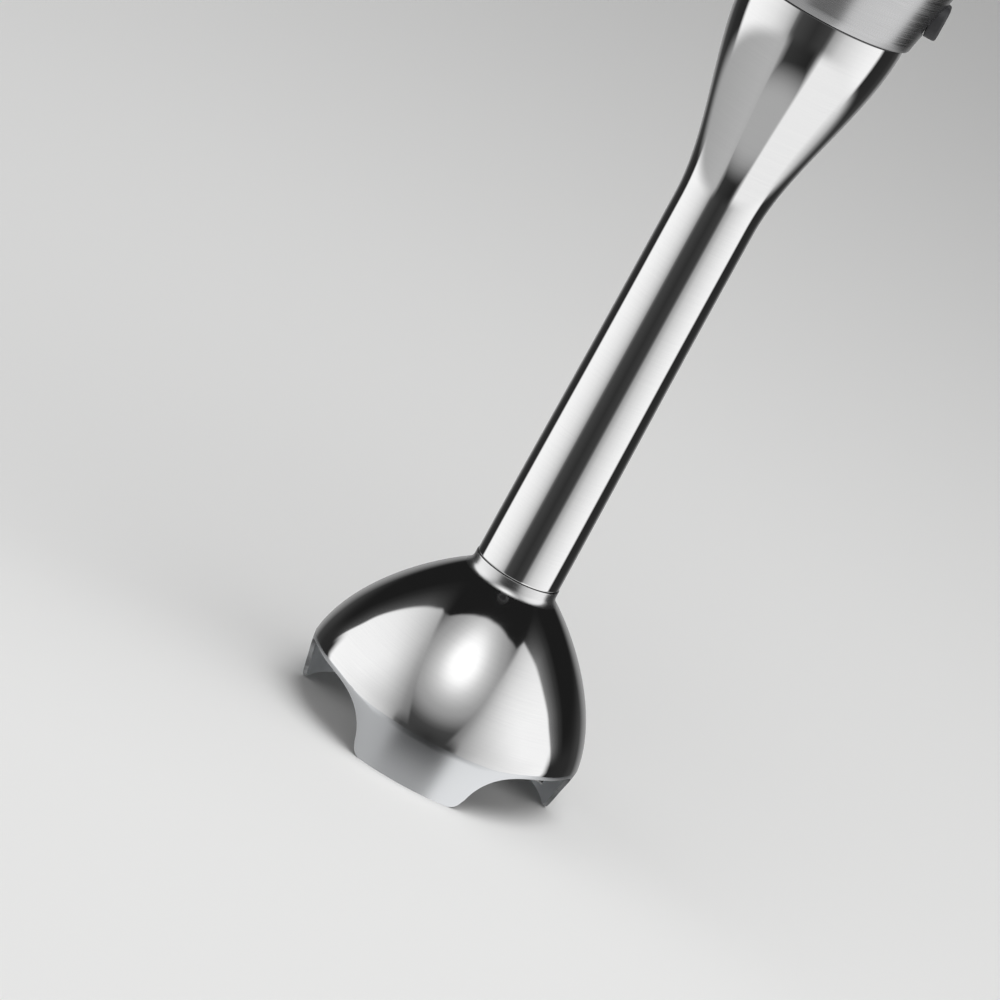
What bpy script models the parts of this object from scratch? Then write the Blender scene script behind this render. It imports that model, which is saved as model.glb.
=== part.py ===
"""Immersion blender: steel mixing foot, blade shaft, and a lift-off motor unit with its drive and controls.

All sizes below are millimetres. The blender stands on the tabs of its bell, +Z up, with the front tab
and the buttons on -Y. The shaft axis is the Z axis.
"""
import math

import bmesh
import bpy

MM = 0.001
GAP = 0.3             # clearance left between pieces that touch

# Bell
BELL_R = 36.0         # radius at the crease above the tabs
BELL_WALL = 1.0
CREASE_Z = 13.4       # height of the crease above the tab feet
CREASE_LIFT = 1.2     # how far the crease rises between two tabs
NECK_RISE = 37.6      # crease to the seam above the collar
COLLAR_R = 11.15
FILLET_R = 2.6        # hollow between collar and dome
SHOULDER_SLOPE = 36.7
SHOULDER_PULL = 14.0  # length of the upper curve handle
RIM_SLOPE = 7.3
RIM_PULL = 12.2
SKIRT_LEAN = 8.4      # degrees the tabs lean inwards
TABS = 3
TAB_HALF = 25.0       # half the angle covered by one tab foot
TAB_CORNER = 3.0

# Foot tube
FOOT_LENGTH = 206.0   # tab feet to the split between foot and motor unit
FLARE_LENGTH = 56.0
STRAIGHT_LENGTH = 20.0
TUBE_WAIST_R = 10.5
FLARE_R = 20.5
TUBE_WALL = 0.8

# Drive line
SHAFT_R = 2.5
HUB_R = 9.0
BUSH_WALL = 2.2
BLADE_T = 1.2
HEX_FLATS = 8.0
HEX_PLAY = 0.6
PLUG_HEIGHT = 20.0    # how far the foot's plug stands up into the motor unit
GROOVE_DEPTH = 1.6
LATCH_HEIGHT = 3.0

# Motor unit
SLEEVE_LENGTH = 44.0
SHELL_LENGTH = 133.0
CAP_HEIGHT = 8.4
DIAL_HEIGHT = 8.7
HOUSING_WALL = 2.2
BELLY_R = 30.8
GRIP_R = 27.8
HEAD_R = 28.2
MOUNT_SPACE = 3.1     # between stator and casing
FIELD_DEPTH = 10.0    # from stator outside to pole face
AIR_GAP = 0.5
MOTOR_SHAFT_R = 2.4
COMMUTATOR_R = 7.5
BUTTON_R = 6.0
BUTTON_STROKE = 2.5
RELEASE_STROKE = 1.8
CORD_R = 3.3          # bore for the cord, which is not part of the model

# Heights and radii that follow from these
SEAM_Z = CREASE_Z + NECK_RISE
ARCH_Z = CREASE_Z + 0.15          # top of the opening between two tabs
NECK_R = COLLAR_R - BELL_WALL
TUBE_R = COLLAR_R - 0.2
JOINT_Z = FOOT_LENGTH
FLARE_Z = JOINT_Z - FLARE_LENGTH
WAIST_Z = FLARE_Z - STRAIGHT_LENGTH
HUB_LOW = CREASE_Z + 4.6
BLADE_Z = CREASE_Z - 4.4
BLADE_R = BELL_R - 13.5
BORE = SHAFT_R + GAP
MOTOR_BORE = MOTOR_SHAFT_R + GAP
HEX_TIP = HEX_FLATS / math.sqrt(3.0)
CUP_R = HEX_TIP + 2.4
COUPLING_Z = JOINT_Z + 14.0
PLUG_R = FLARE_R - 3.3
GROOVE_Z = JOINT_Z + 7.8
SOCKET_R = PLUG_R + 0.5
SLEEVE_TOP = JOINT_Z + SLEEVE_LENGTH
SHELL_TOP = SLEEVE_TOP + SHELL_LENGTH
CAP_LOW = SHELL_TOP + 0.6
CAP_TOP = CAP_LOW + CAP_HEIGHT
SLEEVE_LOW_R = FLARE_R + 1.0
SLEEVE_TOP_R = BELLY_R - 1.2
HOUSING = ((JOINT_Z, SLEEVE_LOW_R),
           (JOINT_Z + 0.4 * SLEEVE_LENGTH, 0.55 * SLEEVE_LOW_R + 0.45 * SLEEVE_TOP_R),
           (SLEEVE_TOP, SLEEVE_TOP_R),
           (SLEEVE_TOP + 0.20 * SHELL_LENGTH, BELLY_R),
           (SLEEVE_TOP + 0.42 * SHELL_LENGTH, BELLY_R - 0.4),
           (SLEEVE_TOP + 0.75 * SHELL_LENGTH, GRIP_R),
           (SLEEVE_TOP + 0.90 * SHELL_LENGTH, GRIP_R),
           (SHELL_TOP + 2.0, HEAD_R),
           (CAP_TOP + 4.0, HEAD_R))
PLATE_Z = JOINT_Z + 33.3          # lower bearing plate
FAN_Z = JOINT_Z + 43.0
FIELD_LOW = JOINT_Z + 64.0
FIELD_TOP = SHELL_TOP - 78.0
UPPER_PLATE_Z = FIELD_TOP + 29.0
MOTOR_R = BELLY_R - HOUSING_WALL - MOUNT_SPACE
ARMATURE_R = MOTOR_R - FIELD_DEPTH - AIR_GAP
BRUSH_Z = FIELD_TOP + 17.0
BUTTON_Z = (SHELL_TOP - 17.0, SHELL_TOP - 21.0 - 2.0 * BUTTON_R)
PANEL_Y = -(GRIP_R + 2.7)
PANEL_BACK = PANEL_Y + 6.5
BOARD_Y = PANEL_Y + 17.5
DIAL_R = HEAD_R - 15.2
GROMMET_Y = DIAL_R + 6.0


def clear_scene():
    for obj in list(bpy.data.objects):
        bpy.data.objects.remove(obj, do_unlink=True)
    for mesh in list(bpy.data.meshes):
        bpy.data.meshes.remove(mesh)


def make_material(name, colour, metallic, roughness):
    mat = bpy.data.materials.new(name)
    mat.use_nodes = True
    shader = mat.node_tree.nodes["Principled BSDF"]
    shader.inputs["Base Color"].default_value = (*colour, 1.0)
    shader.inputs["Metallic"].default_value = metallic
    shader.inputs["Roughness"].default_value = roughness
    return mat


STEEL = ((0.62, 0.62, 0.62), 1.0, 0.08)
SATIN = ((0.50, 0.51, 0.52), 1.0, 0.35)
IRON = ((0.22, 0.22, 0.23), 1.0, 0.5)
BLACK = ((0.02, 0.02, 0.022), 0.0, 0.45)
GREY = ((0.16, 0.16, 0.17), 0.0, 0.5)
WHITE = ((0.75, 0.75, 0.73), 0.0, 0.5)
RUBBER = ((0.03, 0.03, 0.03), 0.0, 0.8)
COPPER = ((0.62, 0.25, 0.10), 1.0, 0.35)
BRASS = ((0.70, 0.50, 0.20), 1.0, 0.3)
GREEN = ((0.03, 0.16, 0.06), 0.0, 0.5)


def finish(name, bm, look, parent, sharp=35.0, origin=(0.0, 0.0, 0.0)):
    """Turn a bmesh in millimetres into a named object whose origin is at the given point."""
    bmesh.ops.recalc_face_normals(bm, faces=bm.faces)
    bmesh.ops.translate(bm, vec=[-c for c in origin], verts=bm.verts)
    bmesh.ops.scale(bm, vec=(MM, MM, MM), verts=bm.verts)
    mesh = bpy.data.meshes.new(name)
    bm.to_mesh(mesh)
    bm.free()
    mesh.shade_smooth()
    mesh.set_sharp_from_angle(angle=math.radians(sharp))
    obj = bpy.data.objects.new(name, mesh)
    bpy.context.scene.collection.objects.link(obj)
    obj.location = [c * MM for c in origin]
    if look is not None:
        mesh.materials.append(make_material(name + "_finish", *look))
    if parent is not None:
        obj.parent = parent
        obj.location = [a * MM - b for a, b in zip(origin, parent_place(parent))]
    return obj


def parent_place(empty):
    place = [0.0, 0.0, 0.0]
    while empty is not None:
        place = [a + b for a, b in zip(place, empty.location)]
        empty = empty.parent
    return place


def make_body(name, place, parent=None):
    """An empty that carries one moving group, standing on its joint axis."""
    empty = bpy.data.objects.new(name, None)
    empty.empty_display_size = 0.01
    bpy.context.scene.collection.objects.link(empty)
    base = parent_place(parent)
    empty.location = [a * MM - b for a, b in zip(place, base)]
    empty.parent = parent
    return empty


def loft(loops, closed=False):
    """Skin a list of equal-length point loops; closed joins the last loop back to the first."""
    bm = bmesh.new()
    rows = [[bm.verts.new(point) for point in loop] for loop in loops]
    count = len(rows[0])
    pairs = list(zip(rows, rows[1:]))
    if closed:
        pairs.append((rows[-1], rows[0]))
    for low, high in pairs:
        for i in range(count):
            j = (i + 1) % count
            bm.faces.new((low[i], low[j], high[j], high[i]))
    if not closed:
        bm.faces.new(rows[0])
        bm.faces.new(rows[-1])
    return bm


def circle(radius, z, sides, x=0.0, y=0.0):
    step = 2.0 * math.pi / sides
    return [(x + radius * math.cos(i * step), y + radius * math.sin(i * step), z) for i in range(sides)]


def hexagon(flats, z, sides=24):
    """A hexagon with extra points along its sides, so that it can be skinned to a circle."""
    points = []
    for i in range(sides):
        angle = 2.0 * math.pi * i / sides
        off_middle = (angle + math.pi / 6.0) % (math.pi / 3.0) - math.pi / 6.0
        radius = 0.5 * flats / math.cos(off_middle)
        points.append((radius * math.cos(angle), radius * math.sin(angle), z))
    return points


def rounded(width, depth, radius, z, steps=4):
    """Rounded rectangle in the XY plane."""
    points = []
    for sx, sy, start in ((1, 1, 0), (-1, 1, 90), (-1, -1, 180), (1, -1, 270)):
        for i in range(steps + 1):
            angle = math.radians(start + 90.0 * i / steps)
            points.append((sx * (width / 2 - radius) + radius * math.cos(angle),
                           sy * (depth / 2 - radius) + radius * math.sin(angle), z))
    return points


def turned(profile, sides=32):
    """A closed (radius, height) outline turned about the Z axis to make a ring."""
    return loft([circle(r, z, sides) for r, z in profile], closed=True)


def turned_solid(profile, sides=32, x=0.0, y=0.0):
    """An open (radius, height) outline turned to a solid with flat ends."""
    return loft([circle(r, z, sides, x, y) for r, z in profile])


def ring(inner, outer, low, high, edge=0.0, sides=20):
    e = edge
    if e <= 0.0:
        return turned([(inner, low), (outer, low), (outer, high), (inner, high)], sides)
    return turned([(inner, low), (outer - e, low), (outer, low + e), (outer, high - e), (outer - e, high),
                   (inner, high)], sides)


def facing_front(bm, z, y):
    """Tip a piece modelled along +Z so that it points to -Y, with its base at the given place."""
    for v in bm.verts:
        v.co = (v.co.x, y - v.co.z, z + v.co.y)
    return bm


def facing_side(bm, side, z):
    """Tip a piece modelled along +Z so that it points to -X or +X."""
    for v in bm.verts:
        v.co = (side * v.co.z, v.co.x, z + v.co.y)
    return bm


def box(x0, x1, y0, y1, z0, z1, edge=0.0):
    bm = bmesh.new()
    bmesh.ops.create_cube(bm, size=1.0)
    bmesh.ops.scale(bm, vec=(x1 - x0, y1 - y0, z1 - z0), verts=bm.verts)
    bmesh.ops.translate(bm, vec=((x0 + x1) / 2, (y0 + y1) / 2, (z0 + z1) / 2), verts=bm.verts)
    if edge > 0.0:
        bmesh.ops.bevel(bm, geom=bm.edges[:], offset=edge, segments=1, affect="EDGES")
    return bm


def cut(obj, bm, name):
    """Take a bmesh away from an object with a live Boolean."""
    cutter = finish(name, bm, None, None)
    cutter.hide_render = True
    cutter.display_type = "WIRE"
    mod = obj.modifiers.new(name, "BOOLEAN")
    mod.operation = "DIFFERENCE"
    mod.solver = "EXACT"
    mod.object = cutter


def smooth(t):
    t = min(1.0, max(0.0, t))
    return t * t * (3.0 - 2.0 * t)


def tube_outer(z):
    if z <= WAIST_Z:
        return TUBE_R + (TUBE_WAIST_R - TUBE_R) * smooth((z - SEAM_Z) / (WAIST_Z - SEAM_Z))
    return TUBE_WAIST_R + (FLARE_R - TUBE_WAIST_R) * smooth((z - FLARE_Z) / (JOINT_Z - FLARE_Z))


def housing_outer(z):
    """Outer radius of the motor unit at a height, a smooth curve through the housing stations."""
    stations = HOUSING
    if z <= stations[0][0]:
        return stations[0][1]
    for k in range(len(stations) - 1):
        z0, r0 = stations[k]
        z1, r1 = stations[k + 1]
        if z <= z1:
            before = stations[max(k - 1, 0)]
            after = stations[min(k + 2, len(stations) - 1)]
            m0 = (r1 - before[1]) / (z1 - before[0]) * (z1 - z0)
            m1 = (after[1] - r0) / (after[0] - z0) * (z1 - z0)
            t = (z - z0) / (z1 - z0)
            return (r0 * (2 * t**3 - 3 * t**2 + 1) + m0 * (t**3 - 2 * t**2 + t)
                    + r1 * (3 * t**2 - 2 * t**3) + m1 * (t**3 - t**2))
    return stations[-1][1]


def housing_inner(z):
    return housing_outer(z) - HOUSING_WALL


def tab_outline():
    """Angle from the middle of a tab and height of its lower edge, from mid tab to mid opening."""
    per_mm = 180.0 / (math.pi * (BELL_R - 1.5))
    corner = TAB_HALF - TAB_CORNER * per_mm
    points = [(corner * k / 2.0, 0.0) for k in range(2)]
    for k in range(5):
        turn = math.radians(20.0 * k)
        points.append((corner + TAB_CORNER * math.sin(turn) * per_mm, TAB_CORNER * (1.0 - math.cos(turn))))
    middle = 180.0 / TABS
    start = math.asin(TAB_CORNER / ARCH_Z)
    for k in range(7):
        turn = start + (math.pi / 2 - start) * k / 6.0
        points.append((middle - (middle - TAB_HALF) * math.sqrt(max(0.0, math.cos(turn))),
                       ARCH_Z * math.sin(turn)))
    return points


def bell_columns():
    """Columns round the bell: (angle in degrees from the front, lower edge height, crease height)."""
    half = tab_outline()
    columns = []
    for tab in range(TABS):
        middle = 360.0 * tab / TABS
        side = [(middle + a, z, a) for a, z in half]
        mirror = [(middle + 360.0 / TABS - a, z, a) for a, z in reversed(half[1:-1])]
        for angle, low, off in side + mirror:
            lift = CREASE_LIFT * smooth((off - TAB_HALF) / (150.0 / TABS - TAB_HALF))
            columns.append((angle, low, CREASE_Z + lift))
    return columns


def dome_profile(inset, steps=8):
    """Collar, fillet and dome from the top down as (radius, height), moved inwards by inset."""
    slope = math.radians(SHOULDER_SLOPE)
    turn = math.pi / 2 - slope
    centre_r = COLLAR_R + FILLET_R
    centre_z = SEAM_Z - 1.65
    reach = FILLET_R + inset
    points = [(centre_r - reach * math.cos(turn * k / 4.0), centre_z - reach * math.sin(turn * k / 4.0))
              for k in range(4)]
    start = (centre_r - FILLET_R * math.cos(turn), centre_z - FILLET_R * math.sin(turn))
    end = (BELL_R, CREASE_Z)
    rim = math.radians(RIM_SLOPE)
    near = (start[0] + SHOULDER_PULL * math.cos(slope), start[1] - SHOULDER_PULL * math.sin(slope))
    far = (end[0] - RIM_PULL * math.sin(rim), end[1] + RIM_PULL * math.cos(rim))
    for k in range(steps + 1):
        t = k / steps
        s = 1.0 - t
        mix = (s**3, 3 * s * s * t, 3 * s * t * t, t**3)
        pull = (-3 * s * s, 3 * s * s - 6 * s * t, 6 * s * t - 3 * t * t, 3 * t * t)
        path = (start, near, far, end)
        r = sum(m * p[0] for m, p in zip(mix, path))
        z = sum(m * p[1] for m, p in zip(mix, path))
        dr = sum(m * p[0] for m, p in zip(pull, path))
        dz = sum(m * p[1] for m, p in zip(pull, path))
        size = math.hypot(dr, dz)
        points.append((r + inset * dz / size, z - inset * dr / size))
    return points


def skirt_radius(z, crease, inset):
    return BELL_R - inset - (crease - z) * math.tan(math.radians(SKIRT_LEAN))


def bell_shell():
    top = SEAM_Z - GAP / 2
    outer = [(COLLAR_R - 0.15, top), (COLLAR_R, top - 0.25)] + dome_profile(0.0)
    inner = dome_profile(BELL_WALL, 5)
    loops = []
    for angle, low, crease in bell_columns():
        turn = math.radians(angle - 90.0)
        lift = crease - CREASE_Z
        span = SEAM_Z - CREASE_Z
        column = [(r, z + lift * smooth(1.0 - 3.0 * (z - CREASE_Z) / span)) for r, z in outer]
        column.append((skirt_radius(low * 0.5 + crease * 0.5, crease, 0.0), low * 0.5 + crease * 0.5))
        column.append((skirt_radius(low, crease, 0.15), low))
        column.append((skirt_radius(low, crease, BELL_WALL - 0.15), low))
        column.append((skirt_radius(low * 0.5 + crease * 0.5, crease, BELL_WALL), low * 0.5 + crease * 0.5))
        for r, z in reversed(inner):
            column.append((r, z + lift * smooth(1.0 - 3.0 * (z - CREASE_Z) / span)))
        column.append((NECK_R, top))
        loops.append([(r * math.cos(turn), r * math.sin(turn), z) for r, z in column])
    return loft(loops, closed=True)


def foot_tube():
    low = SEAM_Z + GAP / 2
    high = JOINT_Z - GAP
    heights = [low + 0.2, WAIST_Z * 0.5 + low * 0.5, WAIST_Z, FLARE_Z]
    heights += [FLARE_Z + (JOINT_Z - FLARE_Z) * k / 7.0 for k in range(1, 7)]
    outer = [(TUBE_R - 0.15, low)] + [(tube_outer(z), z) for z in heights] + [(tube_outer(high), high)]
    inner = [(tube_outer(high) - TUBE_WALL, high)]
    inner += [(tube_outer(z) - TUBE_WALL, z) for z in reversed(heights[2:])] + [(NECK_R, low)]
    return turned(outer + inner, 40)


def bearing_hub():
    spigot = NECK_R - GAP
    pocket = BORE + BUSH_WALL + GAP
    low = HUB_LOW
    return turned([(7.0, low), (HUB_R - 0.6, low), (HUB_R, low + 0.8), (HUB_R, SEAM_Z - 8.0),
                   (spigot, SEAM_Z - 6.0), (spigot, SEAM_Z + 8.4), (spigot - 0.6, SEAM_Z + 9.0),
                   (BORE, SEAM_Z + 9.0), (BORE, low + 16.3), (pocket, low + 16.3), (pocket, low + 6.0),
                   (7.0, low + 6.0)], 24)


def upper_bearing_holder():
    low = WAIST_Z + 6.0
    outer = TUBE_WAIST_R - TUBE_WALL - GAP
    inner = BORE + 1.2 + GAP
    return turned([(inner, low), (outer, low), (outer, low + 4.0), (outer - 1.5, low + 5.0),
                   (outer - 1.5, low + 8.0), (outer, low + 9.0), (outer, low + 12.0), (inner, low + 12.0)], 20)


def foot_collar():
    """Plug on top of the foot with a latch groove and a seal groove."""
    base = JOINT_Z
    groove = PLUG_R - GROOVE_DEPTH
    groove_top = GROOVE_Z + LATCH_HEIGHT + 2 * GAP
    top = base + PLUG_HEIGHT
    heights = (base - 11.0, base - 7.0, base - 3.0, base - GAP)
    outer = [(BORE, base - 11.0)] + [(tube_outer(z) - TUBE_WALL - GAP, z) for z in heights]
    outer += [(PLUG_R, base), (PLUG_R, GROOVE_Z), (groove, GROOVE_Z), (groove, groove_top)]
    outer += [(PLUG_R, groove_top), (PLUG_R, top - 6.4), (PLUG_R - 1.8, top - 6.1), (PLUG_R - 1.8, top - 3.3)]
    outer += [(PLUG_R, top - 3.0), (PLUG_R, top - 0.7), (PLUG_R - 0.7, top), (CUP_R + 0.6, top)]
    outer += [(CUP_R + 0.6, base + 6.0), (BORE, base + 6.0)]
    return turned(outer, 32)


def torus(major, minor, z, sides=28, around=6):
    profile = [(major + minor * math.cos(2 * math.pi * k / around),
                z + minor * math.sin(2 * math.pi * k / around)) for k in range(around)]
    return turned(profile, sides)


def build_foot(parent):
    low = HUB_LOW
    bush_low = WAIST_Z + 6.0
    lip = [(BORE, low + 1.8), (6.7, low + 1.8), (6.7, low + 5.7), (BORE + 1.6, low + 5.7),
           (BORE + 1.2, low + 3.4), (BORE, low + 3.4)]
    finish("foot_tube", foot_tube(), STEEL, parent)
    finish("bell", bell_shell(), STEEL, parent, sharp=28.0)
    finish("bearing_hub", bearing_hub(), SATIN, parent)
    finish("lower_bush", ring(BORE, BORE + BUSH_WALL, low + 6.1, low + 16.0), BRASS, parent)
    finish("shaft_seal", turned(lip, 20), RUBBER, parent)
    finish("seal_cover", ring(BORE, 6.7, low + 0.2, low + 1.5), STEEL, parent)
    finish("upper_bearing_holder", upper_bearing_holder(), GREY, parent)
    finish("upper_bush", ring(BORE, BORE + 1.2, bush_low, bush_low + 12.0), BRASS, parent)
    finish("foot_collar", foot_collar(), BLACK, parent)
    finish("collar_o_ring", torus(PLUG_R - 0.65, 0.85, JOINT_Z + PLUG_HEIGHT - 4.7), RUBBER, parent)


def drive_shaft():
    r = SHAFT_R
    low = BLADE_Z - 3.6
    under = BLADE_Z + BLADE_T + GAP
    top = COUPLING_Z - 3.0
    return turned_solid([(r - 0.4, low), (r, low + 0.4), (r, under), (r + 1.1, under), (r + 1.1, under + 3.0),
                         (r, under + 3.4), (r, top - 0.4), (r - 0.4, top)], 24)


def blade():
    """Four wings grown from every second face of an eight-sided hub; one pair is bent up."""
    hub = (SHAFT_R + 3.5) / math.cos(math.pi / 8)
    bore = BORE / math.cos(math.pi / 8)
    low = BLADE_Z
    high = BLADE_Z + BLADE_T
    bm = bmesh.new()
    rows = []
    for radius, z in ((bore, low), (hub, low), (hub, high), (bore, high)):
        spin = math.pi / 8
        rows.append([bm.verts.new((radius * math.cos(spin + k * math.pi / 4),
                                   radius * math.sin(spin + k * math.pi / 4), z)) for k in range(8)])
    for k in range(8):
        n = (k + 1) % 8
        bm.faces.new((rows[0][k], rows[0][n], rows[1][n], rows[1][k]))
        bm.faces.new((rows[2][k], rows[2][n], rows[3][n], rows[3][k]))
        bm.faces.new((rows[3][k], rows[3][n], rows[0][n], rows[0][k]))
        if k % 2:
            grow_wing(bm, (rows[1][k], rows[1][n], rows[2][n], rows[2][k]), k)
        else:
            bm.faces.new((rows[1][k], rows[1][n], rows[2][n], rows[2][k]))
    return bm


def grow_wing(bm, root, k):
    angle = (k + 1) * math.pi / 4
    out = (math.cos(angle), math.sin(angle))
    side = (-out[1], out[0])
    bend = 5.0 if k in (1, 5) else 0.6
    last = root
    stations = ((0.53, 4.2, 0.0, 1.0), (0.8, 3.8, 0.45, 0.8), (1.0, 2.2, 1.0, 0.45))
    for share, half, rise, thick in stations:
        reach = share * BLADE_R
        base = BLADE_Z + (BLADE_T - BLADE_T * thick) / 2 + bend * rise
        top = base + BLADE_T * thick
        loop = []
        for off, z in ((-half, base), (half, base), (half, top), (-half, top)):
            loop.append(bm.verts.new((out[0] * reach + side[0] * off, out[1] * reach + side[1] * off, z)))
        for i in range(4):
            j = (i + 1) % 4
            bm.faces.new((last[i], last[j], loop[j], loop[i]))
        last = loop
    bm.faces.new(last)


def hex_ring(flats, bore, low, high):
    return loft([circle(bore, low, 24), hexagon(flats, low), hexagon(flats, high), circle(bore, high, 24)],
                closed=True)


def driven_coupling():
    """Cup on the foot's shaft: blind bore below, hexagonal socket above."""
    flats = HEX_FLATS + HEX_PLAY
    floor = COUPLING_Z - 0.7
    roof = COUPLING_Z - 2.7
    low = JOINT_Z + 6.3
    top = COUPLING_Z + 9.0
    loops = [circle(0.9, roof, 24), circle(BORE, roof, 24), circle(BORE, low, 24), circle(CUP_R, low, 24),
             circle(CUP_R, top - 0.6, 24), circle(CUP_R - 0.6, top, 24), hexagon(flats + 0.8, top),
             hexagon(flats, top - 0.8), hexagon(flats, floor), circle(0.9, floor, 24)]
    return loft(loops)


def build_blade_shaft(parent):
    nut = hex_ring(2 * SHAFT_R + 3.0, BORE, BLADE_Z - 3.3, BLADE_Z - GAP)
    clip_top = JOINT_Z - 11.0 - GAP
    finish("drive_shaft", drive_shaft(), SATIN, parent)
    finish("blade", blade(), SATIN, parent, sharp=20.0)
    finish("blade_nut", nut, SATIN, parent, sharp=25.0)
    finish("driven_coupling", driven_coupling(), BLACK, parent, sharp=25.0)
    finish("shaft_clip", ring(BORE, SHAFT_R + 2.3, clip_top - 1.5, clip_top), SATIN, parent)


def drive_coupling():
    z = COUPLING_Z
    shoulder = HEX_TIP + 1.4
    loops = [circle(0.9, z, 24), hexagon(HEX_FLATS - 0.8, z), hexagon(HEX_FLATS, z + 0.6),
             hexagon(HEX_FLATS, z + 9.4), circle(shoulder, z + 10.0, 24), circle(shoulder, z + 12.6, 24),
             circle(shoulder - 0.6, z + 13.2, 24), circle(MOTOR_BORE, z + 13.2, 24),
             circle(MOTOR_BORE, z + 6.0, 24), circle(0.9, z + 6.0, 24)]
    return loft(loops)


def armature_core():
    slots = 12
    loops = []
    for wide, z in ((False, FIELD_LOW), (True, FIELD_LOW), (True, FIELD_TOP), (False, FIELD_TOP)):
        loop = []
        for k in range(slots * 3):
            radius = 6.0
            if wide:
                radius = ARMATURE_R - (1.8 if k % 3 == 0 else 0.0)
            angle = 2 * math.pi * k / (slots * 3)
            loop.append((radius * math.cos(angle), radius * math.sin(angle), z))
        loops.append(loop)
    return loft(loops, closed=True)


def armature_winding():
    low = FIELD_LOW - GAP
    high = FIELD_TOP + GAP
    full = ARMATURE_R - 1.4
    return turned([(MOTOR_BORE, low - 7.0), (full * 0.66, low - 7.7), (full - 1.1, low - 6.0),
                   (full, low - 3.0), (full - 0.8, low), (5.7, low), (5.7, high), (full - 0.8, high),
                   (full, high + 3.0), (full - 1.1, high + 6.0), (full * 0.66, high + 7.7),
                   (MOTOR_BORE, high + 7.0)], 18)


def commutator():
    low = FIELD_TOP + 10.0
    high = FIELD_TOP + 24.0
    r = COMMUTATOR_R
    return turned([(MOTOR_BORE, low), (r + 1.0, low), (r + 1.0, low + 2.0), (r, low + 2.0), (r, high - 0.5),
                   (r - 0.5, high), (MOTOR_BORE, high)], 24)


def cooling_fan():
    """A disc with radial vanes raised from it."""
    vanes = 10
    sides = vanes * 3
    bm = bmesh.new()
    rows = []
    rim = MOTOR_R - 2.0
    low = FAN_Z
    top = FAN_Z + 9.6
    for radius, z in ((MOTOR_BORE, low), (rim, low), (rim, low + 1.4), (8.0, low + 1.4), (6.0, top),
                      (MOTOR_BORE, top)):
        row = []
        for k in range(sides):
            angle = 2 * math.pi * (k // 3 + (0.0, 0.12, 0.56)[k % 3]) / vanes
            row.append(bm.verts.new((radius * math.cos(angle), radius * math.sin(angle), z)))
        rows.append(row)
    raised = []
    for low, high in zip(rows, rows[1:] + rows[:1]):
        for k in range(sides):
            n = (k + 1) % sides
            face = bm.faces.new((low[k], low[n], high[n], high[k]))
            if low is rows[2] and k % 3 == 0:
                raised.append(face)
    bmesh.ops.recalc_face_normals(bm, faces=bm.faces)
    grown = bmesh.ops.extrude_discrete_faces(bm, faces=raised)
    lifted = {v for face in grown["faces"] for v in face.verts}
    for v in lifted:
        v.co.z += 6.4
        v.co.x *= 1.0 if math.hypot(v.co.x, v.co.y) > 12.0 else 1.12
        v.co.y *= 1.0 if math.hypot(v.co.x, v.co.y) > 12.0 else 1.12
    return bm


def build_rotor(parent):
    r = MOTOR_SHAFT_R
    low = COUPLING_Z + 6.0 + GAP
    top = UPPER_PLATE_Z + 9.0
    shaft = turned_solid([(r - 0.4, low), (r, low + 0.4), (r, top - 0.4), (r - 0.4, top)], 24)
    finish("motor_shaft", shaft, SATIN, parent)
    finish("armature_core", armature_core(), IRON, parent)
    finish("armature_winding", armature_winding(), COPPER, parent)
    finish("commutator", commutator(), COPPER, parent)
    finish("cooling_fan", cooling_fan(), GREY, parent)
    finish("drive_coupling", drive_coupling(), BLACK, parent, sharp=25.0)


def lower_sleeve():
    heights = [JOINT_Z + 0.3] + [JOINT_Z + SLEEVE_LENGTH * k / 7.0 for k in range(1, 8)]
    floor = GROOVE_Z
    lip = PLUG_R + 0.4
    outer = [(housing_outer(JOINT_Z) - 0.3, JOINT_Z)] + [(housing_outer(z), z) for z in heights]
    inner = [(housing_inner(z), z) for z in (SLEEVE_TOP, SLEEVE_TOP - 12.0, floor + 15.0, floor + 6.0, floor)]
    return turned(outer + inner + [(lip, floor), (lip, JOINT_Z)], 40)


def latch_outer():
    return min(FLARE_R - 0.1, housing_inner(GROOVE_Z) - 0.4)


def release_button(side):
    """Cap and plunger modelled along +Z, then turned to one side of the sleeve."""
    start = latch_outer() + GAP
    cap = start + RELEASE_STROKE + 0.1
    loops = [rounded(6.0, 2.4, 0.6, start), rounded(6.0, 2.4, 0.6, cap), rounded(11.0, 8.6, 3.0, cap),
             rounded(11.0, 8.6, 3.0, cap + 2.2), rounded(9.8, 7.4, 2.6, cap + 3.0)]
    return facing_side(loft(loops), side, latch_middle())


def latch_middle():
    return GROOVE_Z + GAP + LATCH_HEIGHT / 2


def arc_points(radius, start, stop, steps):
    points = []
    for k in range(steps + 1):
        angle = math.radians(start + (stop - start) * k / steps)
        points.append((radius * math.cos(angle), radius * math.sin(angle)))
    return points


def half_shell(start, stop):
    """Half of the motor casing between two angles, drawn back from the split plane by half the gap."""
    low = SLEEVE_TOP + 0.6
    heights = [low + (SHELL_TOP - low) * k / 6.0 for k in range(7)]
    middle = (start + stop) / 2
    loops = []
    for z in heights:
        loop = []
        for radius, way in ((housing_outer(z), 1), (housing_inner(z), -1)):
            half = (stop - start) / 2 - math.degrees(GAP / 2 / radius)
            arc = arc_points(radius, middle - half, middle + half, 20)
            loop += arc if way > 0 else arc[::-1]
        loops.append([(x, y, z) for x, y in loop])
    return loft(loops)


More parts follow.
